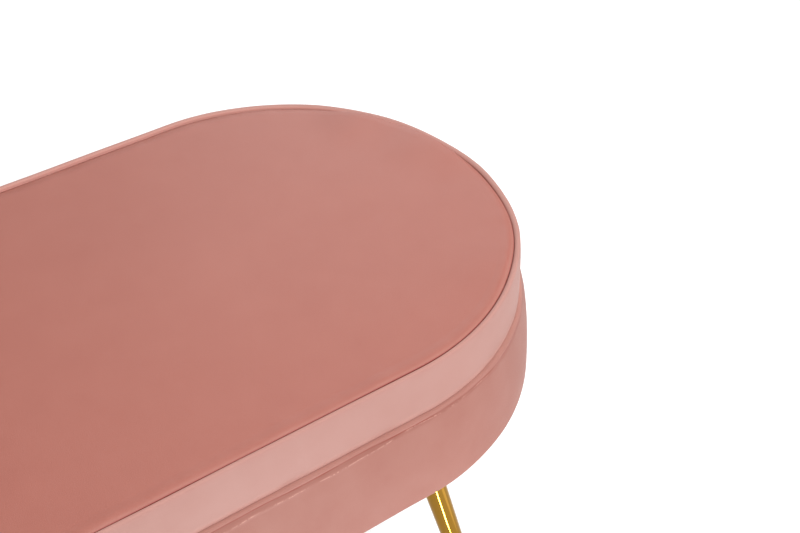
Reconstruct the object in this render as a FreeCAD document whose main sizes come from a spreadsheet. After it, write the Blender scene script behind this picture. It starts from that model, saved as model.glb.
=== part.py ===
import FreeCAD, Part
import os
from typing import NamedTuple

import Sketcher
from FreeCAD import Vector

# A stadium-shaped bench pouf: a velvet seat cushion on a wider velvet base tier, with four splayed
# metal legs. Millimetres, Z up. The origin lies on the floor under the middle of the pouf, X runs
# along its length and Y from its front to its rear.

# The plain numbers that drive the model, kept in the document's own sheet
DIMENSIONS = {
    # Plan and heights of the two tiers
    "overall_length": 1000,
    "base_radius": 205,
    "base_flare": 7,
    "ledge_width": 4,
    "underside_height": 300,
    "base_height": 82.5,
    "boxing_height": 39,
    # Seat cushion: boxing band with a rolled lip, and a crowned top panel sewn in behind it
    "boxing_draw_in": 2.5,
    "boxing_bend": 3,
    "boxing_lap": 30,
    "lip_bend": 0.5,
    "lip_rise": 4,
    "seam_tuck": 3,
    "crown_rise": 6.5,
    "edge_roll_width": 15,
    "edge_roll_drop": 4.5,
    "fabric_thickness": 1.5,
    "wadding_thickness": 4,
    "cushion_board_thickness": 9,
    # Base tier: plywood frame, bent wall strips, foam wrap and cover
    "shoulder_bend": 1.5,
    "shoulder_seam_angle": 45,
    "shoulder_foam": 3,
    "hem_bend": 1.5,
    "hem_lap": 76,
    "strip_lap": 30,
    "wall_thickness": 3,
    "bottom_board_thickness": 15,
    "deck_thickness": 12,
    "rib_thickness": 18,
    "rib_spacing": 220,
    "dust_cover_thickness": 0.8,
    "dust_cover_inset": 15,
    # Legs
    "leg_end_offset": 26.5,
    "leg_edge_inset": 50,
    "leg_splay_angle": 14.7,
    "leg_splay_heading": 35,
    "leg_top_radius": 10.6,
    "leg_foot_radius": 5.6,
    "leg_wall": 1.2,
    "leg_trim": 20,
    "plate_size": 54,
    "plate_thickness": 3,
    "plate_corner_radius": 8,
    "glide_height": 6,
    "glide_overhang": 0.6,
    "glide_plug_length": 14,
    # Fasteners
    "bolt_spacing": 36,
    "bolt_radius": 2.9,
    "bolt_length": 20,
    "bolt_head_radius": 5.5,
    "bolt_head_height": 3.3,
    "nut_barrel_radius": 3.9,
    "nut_barrel_length": 11,
    "nut_flange_radius": 9,
    "nut_flange_thickness": 1.4,
    "screw_radius": 2,
    "screw_head_radius": 4,
    "screw_head_height": 2.5,
    "frame_screw_length": 40,
    "frame_screw_reach": 120,
    "lower_screw_shift": 30,
    "end_screw_offset": 85,
    "cushion_screw_length": 22,
    "cushion_screw_reach": 90,
    "cushion_screw_inner": 120,
    "cushion_screw_outer": 360,
    "access_hole_radius": 12,
    # Clearances
    "fit_gap": 0.3,
    "snug_gap": 0.1,
    "bolt_clearance": 0.35,
}

# What follows from the driving dimensions: radii about the two end centres, and heights
LEVELS = {
    "end_offset": "=Dimensions.overall_length / 2 - Dimensions.base_radius",
    "base_top_radius": "=Dimensions.base_radius - Dimensions.base_flare",
    "wall_outer_radius": "=base_top_radius - Dimensions.fabric_thickness - Dimensions.shoulder_foam",
    "wall_inner_radius": "=wall_outer_radius - Dimensions.wall_thickness",
    "board_radius": "=wall_inner_radius - Dimensions.fit_gap",
    "shoulder_radius": "=Dimensions.shoulder_bend + Dimensions.fabric_thickness",
    "shoulder_middle": "=base_top_radius - shoulder_radius",
    "hem_corner_radius": "=Dimensions.hem_bend + Dimensions.fabric_thickness",
    "hem_inner_radius": "=Dimensions.base_radius - hem_corner_radius - Dimensions.hem_lap",
    "dust_cover_radius": "=Dimensions.base_radius - Dimensions.dust_cover_inset",
    "cushion_radius": "=base_top_radius - Dimensions.ledge_width",
    "cushion_board_radius": "=cushion_radius - Dimensions.fabric_thickness - Dimensions.fit_gap",
    "boxing_top_radius": "=cushion_radius - Dimensions.boxing_draw_in",
    "foam_radius": "=boxing_top_radius - Dimensions.fabric_thickness - Dimensions.fit_gap",
    "boxing_corner_radius": "=Dimensions.boxing_bend + Dimensions.fabric_thickness",
    "lip_radius": "=Dimensions.lip_bend + Dimensions.fabric_thickness",
    "lip_middle": "=boxing_top_radius - lip_radius",
    "boxing_seam_face": "=lip_middle - lip_radius",
    "seam_radius": "=boxing_seam_face - Dimensions.fit_gap / 2",
    "panel_edge_radius": "=seam_radius - Dimensions.fit_gap / 2",
    "panel_tuck_radius": "=panel_edge_radius - Dimensions.fabric_thickness",
    "filling_radius": "=panel_tuck_radius - Dimensions.fit_gap",
    "plateau_radius": "=seam_radius - Dimensions.edge_roll_width",
    "bottom_board_level": "=Dimensions.underside_height + Dimensions.fabric_thickness",
    "rib_level": "=bottom_board_level + Dimensions.bottom_board_thickness",
    "ledge_level": "=Dimensions.underside_height + Dimensions.base_height",
    "deck_top": "=ledge_level - Dimensions.fabric_thickness",
    "deck_level": "=deck_top - Dimensions.deck_thickness",
    "shoulder_level": "=ledge_level - shoulder_radius",
    "hem_level": "=Dimensions.underside_height + hem_corner_radius",
    "cushion_board_level": "=ledge_level + Dimensions.fabric_thickness",
    "foam_level": "=cushion_board_level + Dimensions.cushion_board_thickness",
    "seam_level": "=ledge_level + Dimensions.boxing_height",
    "tuck_level": "=seam_level - Dimensions.seam_tuck",
    "lip_level": "=seam_level + Dimensions.lip_rise",
    "lip_start_level": "=lip_level - lip_radius",
    "boxing_corner_level": "=ledge_level + boxing_corner_radius",
    "plateau_level": "=seam_level + Dimensions.edge_roll_drop",
    "crown_level": "=seam_level + Dimensions.crown_rise",
    "dome_rise": "=Dimensions.crown_rise - Dimensions.edge_roll_drop",
    "dome_arc": "=(plateau_radius ^ 2 + dome_rise ^ 2) / (2 * dome_rise)",
    "roll_arc": "=(Dimensions.edge_roll_width ^ 2 + Dimensions.edge_roll_drop ^ 2)"
                " / (2 * Dimensions.edge_roll_drop)",
    "flare_rise": "=shoulder_level - hem_level",
    "flare_arc": "=(flare_rise ^ 2 + Dimensions.base_flare ^ 2) / (2 * Dimensions.base_flare)",
    "draw_rise": "=lip_start_level - boxing_corner_level",
    "draw_arc": "=(draw_rise ^ 2 + Dimensions.boxing_draw_in ^ 2) / (2 * Dimensions.boxing_draw_in)",
    "dust_cover_level": "=Dimensions.underside_height - Dimensions.dust_cover_thickness",
    "plate_level": "=dust_cover_level - Dimensions.plate_thickness",
    "leg_x": "=end_offset + Dimensions.leg_end_offset",
    "leg_y": "=Dimensions.base_radius - Dimensions.leg_edge_inset",
    "leg_length": "=plate_level / cos(Dimensions.leg_splay_angle)",
    "leg_taper": "=(Dimensions.leg_top_radius - Dimensions.leg_foot_radius) / leg_length",
    "leg_reach": "=plate_level * tan(Dimensions.leg_splay_angle)"
                 " + Dimensions.leg_trim * sin(Dimensions.leg_splay_angle)",
    "end_rib_start": "=Dimensions.rib_spacing + Dimensions.rib_thickness / 2",
    "end_rib_stop": "=end_offset + board_radius - 2 * Dimensions.fit_gap",
    "end_screw_x": "=end_offset + Dimensions.end_screw_offset",
    "screw_hole_radius": "=Dimensions.screw_radius + Dimensions.snug_gap",
    "bolt_hole_radius": "=Dimensions.bolt_radius + Dimensions.bolt_clearance",
}

LEFT_RIGHT = {"left": -1, "right": 1}
FRONT_REAR = {"front": -1, "rear": 1}
SAME_LEVEL = 1e-6

document = FreeCAD.newDocument("stadium_pouf")


class Corner(NamedTuple):
    """A corner of an outline, and the arc to the next corner: turn is 1 to the left, -1 to the right."""
    across: str
    up: str
    arc: str = ""
    turn: int = 1


# Sheets

def make_sheet(name, cells):
    sheet = document.addObject("Spreadsheet::Sheet", name)
    for row, (alias, content) in enumerate(cells.items(), start=1):
        sheet.set(f"A{row}", alias)
        sheet.set(f"B{row}", str(content))
        sheet.setAlias(f"B{row}", alias)
    document.recompute()
    return sheet


make_sheet("Dimensions", DIMENSIONS)
make_sheet("Levels", LEVELS)
workings = document.addObject("Spreadsheet::Sheet", "Workings")


def value_of(expression):
    """The number that an expression gives now, for a sketch's first drawing."""
    workings.set("A1", f"={expression}")
    workings.recompute()
    return float(workings.get("A1"))


# Sketches and features

def new_body(label):
    body = document.addObject("PartDesign::Body", label)
    body.Label = label
    return body


def new_sketch(body, name, role, along="0", out="0"):
    """A sketch on an origin plane, moved along its own first axis and out along its normal."""
    sketch = body.newObject("Sketcher::SketchObject", name)
    plane = next(item for item in body.Origin.OriginFeatures if item.Role == role)
    sketch.AttachmentSupport = [(plane, "")]
    sketch.MapMode = "FlatFace"
    sketch.setExpression("AttachmentOffset.Base.x", along)
    sketch.setExpression("AttachmentOffset.Base.z", out)
    return sketch


def bind(sketch, kind, *arguments):
    """Add a dimension whose last argument is an expression, and bind it to that expression."""
    *where, expression = arguments
    index = sketch.addConstraint(Sketcher.Constraint(kind, *where, value_of(expression)))
    sketch.setExpression(f"Constraints[{index}]", expression)


def draw_outline(sketch, corners):
    """Draw a closed outline of lines and arcs through corners, each corner bound to its expressions."""
    points = [Vector(value_of(corner.across), value_of(corner.up), 0) for corner in corners]
    ends = []
    for index, corner in enumerate(corners):
        start = points[index]
        stop = points[(index + 1) % len(points)]
        if not corner.arc:
            number = sketch.addGeometry(Part.LineSegment(start, stop))
            ends.append(((number, 1), (number, 2)))
            continue
        chord = stop - start
        radius = value_of(corner.arc)
        height = max(radius ** 2 - (chord.Length / 2) ** 2, 0) ** 0.5
        side = Vector(-chord.y, chord.x, 0).normalize() * corner.turn
        centre = start + chord * 0.5 + side * height
        first, last = (start, stop) if corner.turn > 0 else (stop, start)
        circle = Part.Circle(centre, Vector(0, 0, 1), radius)
        arc = Part.ArcOfCircle(circle, circle.parameter(first), circle.parameter(last))
        number = sketch.addGeometry(arc)
        bind(sketch, "Radius", number, corner.arc)
        ends.append(((number, 1), (number, 2)) if corner.turn > 0 else ((number, 2), (number, 1)))
    for index, corner in enumerate(corners):
        here = ends[index][0]
        before = ends[index - 1][1]
        sketch.addConstraint(Sketcher.Constraint("Coincident", *before, *here))
        if corner.across == "0":
            sketch.addConstraint(Sketcher.Constraint("PointOnObject", *here, -2))
        else:
            bind(sketch, "DistanceX", -1, 1, *here, corner.across)
        bind(sketch, "DistanceY", -1, 1, *here, corner.up)
    document.recompute()


def draw_stadium(sketch, radius):
    """Two straight sides and two half circles about the end centres, starting at the rear right."""
    half = value_of("Levels.end_offset")
    size = value_of(radius)
    up = Vector(0, 0, 1)
    right = Part.Circle(Vector(half, 0, 0), up, size)
    left = Part.Circle(Vector(-half, 0, 0), up, size)
    corners = [Vector(half, size, 0), Vector(-half, size, 0), Vector(-half, -size, 0), Vector(half, -size, 0)]
    sketch.addGeometry(Part.LineSegment(corners[0], corners[1]))
    sketch.addGeometry(Part.ArcOfCircle(left, left.parameter(corners[1]), left.parameter(corners[2])))
    sketch.addGeometry(Part.LineSegment(corners[2], corners[3]))
    sketch.addGeometry(Part.ArcOfCircle(right, right.parameter(corners[3]), right.parameter(corners[0])))
    for index in range(4):
        sketch.addConstraint(Sketcher.Constraint("Tangent", index, 2, (index + 1) % 4, 1))
    sketch.addConstraint(Sketcher.Constraint("PointOnObject", 3, 3, -1))
    sketch.addConstraint(Sketcher.Constraint("Symmetric", 1, 3, 3, 3, -2))
    bind(sketch, "Radius", 3, radius)
    bind(sketch, "DistanceX", -1, 1, 3, 3, "Levels.end_offset")
    document.recompute()


def draw_circles(sketch, places, radius):
    for x, y in places:
        centre = Vector(value_of(x), value_of(y), 0)
        number = sketch.addGeometry(Part.Circle(centre, Vector(0, 0, 1), value_of(radius)))
        bind(sketch, "Radius", number, radius)
        bind(sketch, "DistanceX", -1, 1, number, 3, x)
        if y == "0":
            sketch.addConstraint(Sketcher.Constraint("PointOnObject", number, 3, -1))
        else:
            bind(sketch, "DistanceY", -1, 1, number, 3, y)
    document.recompute()


def pad(body, name, sketch, length, symmetric=False):
    feature = body.newObject("PartDesign::Pad", name)
    feature.Profile = sketch
    feature.setExpression("Length", length)
    if symmetric:
        feature.SideType = "Symmetric"
    document.recompute()
    return feature


def drill(body, name, places, radius, top, depth=""):
    """Round holes downwards from a level, to a depth or right through."""
    before = body.Shape.Volume
    sketch = new_sketch(body, f"{name}_circles", "XY_Plane", out=top)
    draw_circles(sketch, places, radius)
    pocket = body.newObject("PartDesign::Pocket", name)
    pocket.Profile = sketch
    if depth:
        pocket.setExpression("Length", depth)
    else:
        pocket.Type = "ThroughAll"
    document.recompute()
    if body.Shape.Volume >= before:
        raise RuntimeError(f"{body.Label}: {name} cut nothing")


def rods(body, name, places, radius, level, length):
    """Round bars upwards from a level, one at each place."""
    sketch = new_sketch(body, f"{name}_circles", "XY_Plane", out=level)
    draw_circles(sketch, places, radius)
    pad(body, name, sketch, length)


def fillet_edges(body, chosen, radius):
    """Round the edges whose bounding boxes are chosen."""
    blank = body.Tip
    edges = [f"Edge{index}" for index, edge in enumerate(blank.Shape.Edges, start=1) if chosen(edge.BoundBox)]
    fillet = body.newObject("PartDesign::Fillet", f"{body.Label}_round")
    fillet.Base = (blank, edges)
    fillet.setExpression("Radius", radius)
    document.recompute()


def stadium_plate(label, radius, level, thickness):
    body = new_body(label)
    sketch = new_sketch(body, f"{label}_plan", "XY_Plane", out=level)
    draw_stadium(sketch, radius)
    pad(body, f"{label}_blank", sketch, thickness)
    return body


def stadium_ring(label, corners):
    """Carry a profile, drawn at the rear right, round the stadium."""
    body = new_body(label)
    path = new_sketch(body, f"{label}_path", "XY_Plane")
    draw_stadium(path, "Dimensions.base_radius")
    profile = new_sketch(body, f"{label}_profile", "YZ_Plane", out="Levels.end_offset")
    draw_outline(profile, corners)
    pipe = body.newObject("PartDesign::AdditivePipe", f"{label}_sweep")
    pipe.Profile = profile
    pipe.Spine = (path, ["Edge1", "Edge2", "Edge3", "Edge4"])
    document.recompute()
    return body


def half_turn(body, name, corners, side):
    """Turn a profile through a half circle about one end centre."""
    sketch = new_sketch(body, f"{name}_profile", "XZ_Plane", along=f"{side} * Levels.end_offset")
    placed = [Corner(signed(side, c.across), c.up, c.arc, c.turn * side) for c in corners]
    draw_outline(sketch, placed)
    turn = body.newObject("PartDesign::Revolution", name)
    turn.Profile = sketch
    turn.ReferenceAxis = (sketch, ["V_Axis"])
    turn.Angle = 180
    turn.Midplane = True
    document.recompute()


def signed(side, expression):
    return expression if side > 0 or expression == "0" else f"-({expression})"


def crowned_solid(label, corners):
    """A filled stadium form: its half profile, from axis to axis, extruded and turned at both ends."""
    body = new_body(label)
    middle = new_sketch(body, f"{label}_middle_profile", "YZ_Plane")
    left_half = []
    for index in range(len(corners) - 1, 0, -1):
        corner = corners[index]
        arc_before = corners[index - 1]
        left_half.append(Corner(signed(-1, corner.across), corner.up, arc_before.arc, arc_before.turn))
    draw_outline(middle, corners[:-1] + left_half)
    pad(body, f"{label}_middle", middle, "2 * Levels.end_offset", symmetric=True)
    for name, side in LEFT_RIGHT.items():
        half_turn(body, f"{label}_{name}_end", corners, side)
    return body


def plank(label, x_start, x_stop, y_start, y_stop, level, height):
    body = new_body(label)
    sketch = new_sketch(body, f"{label}_plan", "XY_Plane", out=level)
    draw_outline(sketch, [
        Corner(x_start, y_start),
        Corner(x_stop, y_start),
        Corner(x_stop, y_stop),
        Corner(x_start, y_stop),
    ])
    pad(body, f"{label}_blank", sketch, height)
    return body


# Places of the fasteners, shared by the fasteners and their holes

BOLT_PLACES = [
    (f"{along} * Levels.leg_x + {step} * Dimensions.bolt_spacing / 2",
     f"{depth} * Levels.leg_y + {jump} * Dimensions.bolt_spacing / 2")
    for along in (-1, 1) for depth in (-1, 1) for step in (-1, 1) for jump in (-1, 1)
]
PLATE_HOLE_PLACES = [
    (f"{step} * Dimensions.bolt_spacing / 2", f"{jump} * Dimensions.bolt_spacing / 2")
    for step in (-1, 1) for jump in (-1, 1)
]
RIB_MIDDLES = {"left": "-Dimensions.rib_spacing", "centre": "0", "right": "Dimensions.rib_spacing"}


def frame_screw_places(shift):
    """The screw places on each rib, shifted towards the pouf's middle."""
    places = {}
    for name, middle in RIB_MIDDLES.items():
        reach = f"(Dimensions.frame_screw_reach - {shift})"
        places[f"base_rib_{name}"] = [(middle, f"{depth} * {reach}") for depth in (-1, 1)]
    for name, side in LEFT_RIGHT.items():
        places[f"base_end_rib_{name}"] = [(f"{side} * (Levels.end_screw_x - {shift})", "0")]
    return places


UPPER_SCREW_PLACES = frame_screw_places("0")
LOWER_SCREW_PLACES = frame_screw_places("Dimensions.lower_screw_shift")
UPPER_SCREWS = sum(UPPER_SCREW_PLACES.values(), [])
LOWER_SCREWS = sum(LOWER_SCREW_PLACES.values(), [])
CUSHION_SCREW_PLACES = [
    (f"{along} * {row}", f"{depth} * Dimensions.cushion_screw_reach")
    for row in ("Dimensions.cushion_screw_inner", "Dimensions.cushion_screw_outer")
    for along in (-1, 1) for depth in (-1, 1)
]


# Seat cushion

def roll_height(radius, drop):
    """The height of the panel's rolled edge at a radius, and a drop below it."""
    return (f"Levels.plateau_level - Levels.roll_arc - ({drop})"
            f" + sqrt(Levels.roll_arc ^ 2 - ({radius} - Levels.plateau_radius) ^ 2)")


def crown_inwards(radius, drop):
    """The crowned top from a radius in to the axis, a drop below the panel's face."""
    return [
        Corner(radius, roll_height(radius, drop), "Levels.roll_arc"),
        Corner("Levels.plateau_radius", f"Levels.plateau_level - ({drop})", "Levels.dome_arc"),
        Corner("0", f"Levels.crown_level - ({drop})"),
    ]


def crown_outwards(radius, drop):
    """The same crowned top from the axis out to a radius."""
    return [
        Corner("0", f"Levels.crown_level - ({drop})", "Levels.dome_arc", -1),
        Corner("Levels.plateau_radius", f"Levels.plateau_level - ({drop})", "Levels.roll_arc", -1),
        Corner(radius, roll_height(radius, drop)),
    ]


PANEL_DROP = "Dimensions.fabric_thickness"
WADDING_TOP_DROP = f"{PANEL_DROP} + Dimensions.fit_gap"
WADDING_BOTTOM_DROP = f"{WADDING_TOP_DROP} + Dimensions.wadding_thickness"
FOAM_DROP = f"{WADDING_BOTTOM_DROP} + Dimensions.fit_gap"


def make_top_panel():
    """The velvet top panel, its edge folded down into the seam."""
    return crowned_solid("seat_top_panel", [
        *crown_outwards("Levels.panel_tuck_radius", PANEL_DROP),
        Corner("Levels.panel_tuck_radius", "Levels.tuck_level"),
        Corner("Levels.panel_edge_radius", "Levels.tuck_level"),
        *crown_inwards("Levels.panel_edge_radius", "0"),
    ])


def make_wadding():
    return crowned_solid("seat_wadding", [
        *crown_outwards("Levels.filling_radius", WADDING_BOTTOM_DROP),
        *crown_inwards("Levels.filling_radius", WADDING_TOP_DROP),
    ])


def make_seat_foam():
    return crowned_solid("seat_foam", [
        Corner("0", "Levels.foam_level"),
        Corner("Levels.foam_radius", "Levels.foam_level"),
        Corner("Levels.foam_radius", "Levels.tuck_level - Dimensions.fit_gap"),
        *crown_inwards("Levels.filling_radius", FOAM_DROP),
    ])


def make_boxing():
    """The band round the cushion: lapped under its board, drawn in, and rolled over into the seam."""
    cloth = "Dimensions.fabric_thickness"
    foot = "Levels.cushion_radius - Levels.boxing_corner_radius"
    lap_end = f"{foot} - Dimensions.boxing_lap"
    return stadium_ring("seat_boxing_band", [
        Corner(lap_end, "Levels.ledge_level"),
        Corner(foot, "Levels.ledge_level", "Levels.boxing_corner_radius"),
        Corner("Levels.cushion_radius", "Levels.boxing_corner_level", "Levels.draw_arc"),
        Corner("Levels.boxing_top_radius", "Levels.lip_start_level", "Levels.lip_radius"),
        Corner("Levels.lip_middle", "Levels.lip_level", "Levels.lip_radius"),
        Corner("Levels.boxing_seam_face", "Levels.lip_start_level"),
        Corner("Levels.boxing_seam_face", "Levels.tuck_level"),
        Corner(f"Levels.boxing_seam_face + {cloth}", "Levels.tuck_level"),
        Corner(f"Levels.boxing_seam_face + {cloth}", "Levels.lip_start_level", "Dimensions.lip_bend", -1),
        Corner("Levels.lip_middle", f"Levels.lip_level - {cloth}", "Dimensions.lip_bend", -1),
        Corner(f"Levels.boxing_top_radius - {cloth}", "Levels.lip_start_level", "Levels.draw_arc", -1),
        Corner(f"Levels.cushion_radius - {cloth}", "Levels.boxing_corner_level",
               "Dimensions.boxing_bend", -1),
        Corner(foot, f"Levels.ledge_level + {cloth}"),
        Corner(lap_end, f"Levels.ledge_level + {cloth}"),
    ])


def make_cushion_board():
    """The cushion's plywood board, rounded below, with blind pilot holes for its screws."""
    body = stadium_plate("cushion_board", "Levels.cushion_board_radius", "Levels.cushion_board_level",
                         "Dimensions.cushion_board_thickness")
    lowest = body.Shape.BoundBox.ZMin
    fillet_edges(body, lambda box: box.ZMax - lowest < SAME_LEVEL, "Dimensions.boxing_bend")
    tip = "Levels.deck_level + Dimensions.cushion_screw_length + Dimensions.fit_gap"
    drill(body, "cushion_screw_holes", CUSHION_SCREW_PLACES, "Levels.screw_hole_radius",
          tip, f"{tip} - Levels.cushion_board_level")
    return body


# Base tier

def make_bottom_board():
    body = stadium_plate("base_bottom_board", "Levels.board_radius", "Levels.bottom_board_level",
                         "Dimensions.bottom_board_thickness")
    drill(body, "nut_holes", BOLT_PLACES, "Dimensions.nut_barrel_radius + Dimensions.snug_gap",
          "Levels.rib_level")
    drill(body, "access_holes", CUSHION_SCREW_PLACES, "Dimensions.access_hole_radius", "Levels.rib_level")
    drill(body, "screw_holes", LOWER_SCREWS, "Levels.screw_hole_radius", "Levels.rib_level")
    drill(body, "screw_recesses", LOWER_SCREWS, "Dimensions.screw_head_radius + Dimensions.snug_gap",
          "Levels.bottom_board_level + Dimensions.screw_head_height", "Dimensions.screw_head_height")
    return body


def make_deck():
    body = stadium_plate("base_top_board", "Levels.board_radius", "Levels.deck_level",
                         "Dimensions.deck_thickness")
    drill(body, "cushion_screw_holes", CUSHION_SCREW_PLACES, "Levels.screw_hole_radius", "Levels.deck_top")
    drill(body, "screw_holes", UPPER_SCREWS, "Levels.screw_hole_radius", "Levels.deck_top")
    drill(body, "screw_recesses", UPPER_SCREWS, "Dimensions.screw_head_radius + Dimensions.snug_gap",
          "Levels.deck_top", "Dimensions.screw_head_height")
    return body


def drill_rib(body):
    """Blind pilot holes from above and below, as deep as the frame screws reach."""
    reach = "Dimensions.frame_screw_length + Dimensions.screw_head_height + Dimensions.fit_gap"
    drill(body, "upper_pilot_holes", UPPER_SCREW_PLACES[body.Label], "Levels.screw_hole_radius",
          "Levels.deck_level", f"{reach} - Dimensions.deck_thickness")
    lower_depth = f"{reach} - Dimensions.bottom_board_thickness"
    drill(body, "lower_pilot_holes", LOWER_SCREW_PLACES[body.Label], "Levels.screw_hole_radius",
          f"Levels.rib_level + {lower_depth}", lower_depth)


def make_ribs():
    height = "Levels.deck_level - Levels.rib_level"
    half = "Dimensions.rib_thickness / 2"
    ribs = []
    for name, middle in RIB_MIDDLES.items():
        ribs.append(plank(f"base_rib_{name}", f"{middle} - {half}", f"{middle} + {half}",
                          "-Levels.board_radius", "Levels.board_radius", "Levels.rib_level", height))
    for name, side in LEFT_RIGHT.items():
        ribs.append(plank(f"base_end_rib_{name}", signed(side, "Levels.end_rib_start"),
                          signed(side, "Levels.end_rib_stop"), f"-{half}", half, "Levels.rib_level", height))
    for rib in ribs:
        drill_rib(rib)
    return ribs


def make_wall_strips():
    """Bent strips that close the frame: a straight one at the front and rear, a half ring at each end."""
    height = "Levels.deck_top - Levels.bottom_board_level"
    strips = []
    for name, side in FRONT_REAR.items():
        strips.append(plank(f"wall_strip_{name}", "-Levels.end_offset", "Levels.end_offset",
                            signed(side, "Levels.wall_inner_radius"),
                            signed(side, "Levels.wall_outer_radius"),
                            "Levels.bottom_board_level", height))
    for name, side in LEFT_RIGHT.items():
        body = new_body(f"wall_strip_{name}")
        half_turn(body, f"wall_strip_{name}_bend", [
            Corner("Levels.wall_inner_radius", "Levels.bottom_board_level"),
            Corner("Levels.wall_outer_radius", "Levels.bottom_board_level"),
            Corner("Levels.wall_outer_radius", "Levels.deck_top"),
            Corner("Levels.wall_inner_radius", "Levels.deck_top"),
        ], side)
        strips.append(body)
    return strips


def make_foam_wrap():
    """The foam between wall strips and side band, thicker towards the hem."""
    inner = "Levels.wall_outer_radius + Dimensions.fit_gap"
    skin = "Dimensions.fabric_thickness + Dimensions.fit_gap"
    bend = "Dimensions.hem_bend"
    return stadium_ring("base_foam_wrap", [
        Corner(inner, "Levels.bottom_board_level"),
        Corner(f"Dimensions.base_radius - ({skin}) - {bend}", "Levels.bottom_board_level", bend),
        Corner(f"Dimensions.base_radius - ({skin})", "Levels.hem_level", "Levels.flare_arc"),
        Corner(f"Levels.base_top_radius - ({skin})", "Levels.shoulder_level"),
        Corner(inner, "Levels.shoulder_level"),
    ])


def shoulder_seam(radius):
    """The seam between ledge strip and side band, at a radius about the shoulder's middle."""
    angle = "Dimensions.shoulder_seam_angle"
    return (f"Levels.shoulder_middle + {radius} * cos({angle})",
            f"Levels.shoulder_level + {radius} * sin({angle})")


def make_ledge_strip():
    """The narrow velvet strip on the ledge, stapled to the deck and sewn to the side band's top."""
    lap_end = "Levels.shoulder_middle - Dimensions.strip_lap"
    return stadium_ring("base_ledge_strip", [
        Corner(*shoulder_seam("Levels.shoulder_radius"), "Levels.shoulder_radius"),
        Corner("Levels.shoulder_middle", "Levels.ledge_level"),
        Corner(lap_end, "Levels.ledge_level"),
        Corner(lap_end, "Levels.deck_top"),
        Corner("Levels.shoulder_middle", "Levels.deck_top", "Dimensions.shoulder_bend", -1),
        Corner(*shoulder_seam("Dimensions.shoulder_bend")),
    ])


def make_side_band():
    """The flared velvet side of the base, its hem lapped under the bottom board and clear of the bolts."""
    cloth = "Dimensions.fabric_thickness"
    bend_start = "Dimensions.base_radius - Levels.hem_corner_radius"
    body = stadium_ring("base_side_band", [
        Corner("Levels.hem_inner_radius", "Dimensions.underside_height"),
        Corner(bend_start, "Dimensions.underside_height", "Levels.hem_corner_radius"),
        Corner("Dimensions.base_radius", "Levels.hem_level", "Levels.flare_arc"),
        Corner("Levels.base_top_radius", "Levels.shoulder_level", "Levels.shoulder_radius"),
        Corner(*shoulder_seam("Levels.shoulder_radius")),
        Corner(*shoulder_seam("Dimensions.shoulder_bend"), "Dimensions.shoulder_bend", -1),
        Corner(f"Levels.base_top_radius - {cloth}", "Levels.shoulder_level", "Levels.flare_arc", -1),
        Corner(f"Dimensions.base_radius - {cloth}", "Levels.hem_level", "Dimensions.hem_bend", -1),
        Corner(bend_start, "Levels.bottom_board_level"),
        Corner("Levels.hem_inner_radius", "Levels.bottom_board_level"),
    ])
    drill(body, "bolt_holes", BOLT_PLACES, "Levels.bolt_hole_radius", "Levels.bottom_board_level")
    return body


def make_dust_cover():
    body = stadium_plate("dust_cover", "Levels.dust_cover_radius", "Levels.dust_cover_level",
                         "Dimensions.dust_cover_thickness")
    drill(body, "bolt_holes", BOLT_PLACES, "Levels.bolt_hole_radius", "Dimensions.underside_height")
    return body


# Legs

def leg_cone(name, along, depth, inset):
    """A cone on a leg's slanted axis, longer than the leg at both ends and an inset inside its face."""
    cone = document.addObject("Part::Cone", name)
    cone.setExpression("Radius1", "Dimensions.leg_foot_radius"
                                  f" - Levels.leg_taper * Dimensions.leg_trim - ({inset})")
    cone.setExpression("Radius2", "Dimensions.leg_top_radius"
                                  f" + Levels.leg_taper * Dimensions.leg_trim - ({inset})")
    cone.setExpression("Height", "Levels.leg_length + 2 * Dimensions.leg_trim")
    heading = "Dimensions.leg_splay_heading"
    cone.setExpression("Placement.Base.x", f"{along} * (Levels.leg_x + Levels.leg_reach * cos({heading}))")
    cone.setExpression("Placement.Base.y", f"{depth} * (Levels.leg_y + Levels.leg_reach * sin({heading}))")
    cone.setExpression("Placement.Base.z", "-Dimensions.leg_trim * cos(Dimensions.leg_splay_angle)")
    cone.setExpression("Placement.Rotation.Axis.x", f"{depth} * sin({heading})")
    cone.setExpression("Placement.Rotation.Axis.y", f"{-along} * cos({heading})")
    cone.setExpression("Placement.Rotation.Axis.z", "0")
    cone.setExpression("Placement.Rotation.Angle", "Dimensions.leg_splay_angle")
    return cone


def layer(name, level, height):
    """A level slab wider than the pouf, which trims a leg piece flat above and below."""
    box = document.addObject("Part::Box", name)
    box.setExpression("Length", "2 * Dimensions.overall_length")
    box.setExpression("Width", "2 * Dimensions.overall_length")
    box.setExpression("Height", height)
    box.setExpression("Placement.Base.x", "-Dimensions.overall_length")
    box.setExpression("Placement.Base.y", "-Dimensions.overall_length")
    box.setExpression("Placement.Base.z", level)
    return box


def combine(kind, name, base, tool):
    result = document.addObject(kind, name)
    result.Base = base
    result.Tool = tool
    return result


def make_leg_tube(corner, along, depth):
    label = f"leg_{corner}"
    outside = leg_cone(f"{label}_outside", along, depth, "0")
    bore = leg_cone(f"{label}_bore", along, depth, "Dimensions.leg_wall")
    tube = combine("Part::Cut", f"{label}_tube", outside, bore)
    span = layer(f"{label}_span", "Dimensions.glide_height", "Levels.plate_level - Dimensions.glide_height")
    return combine("Part::Common", label, tube, span)


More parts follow.
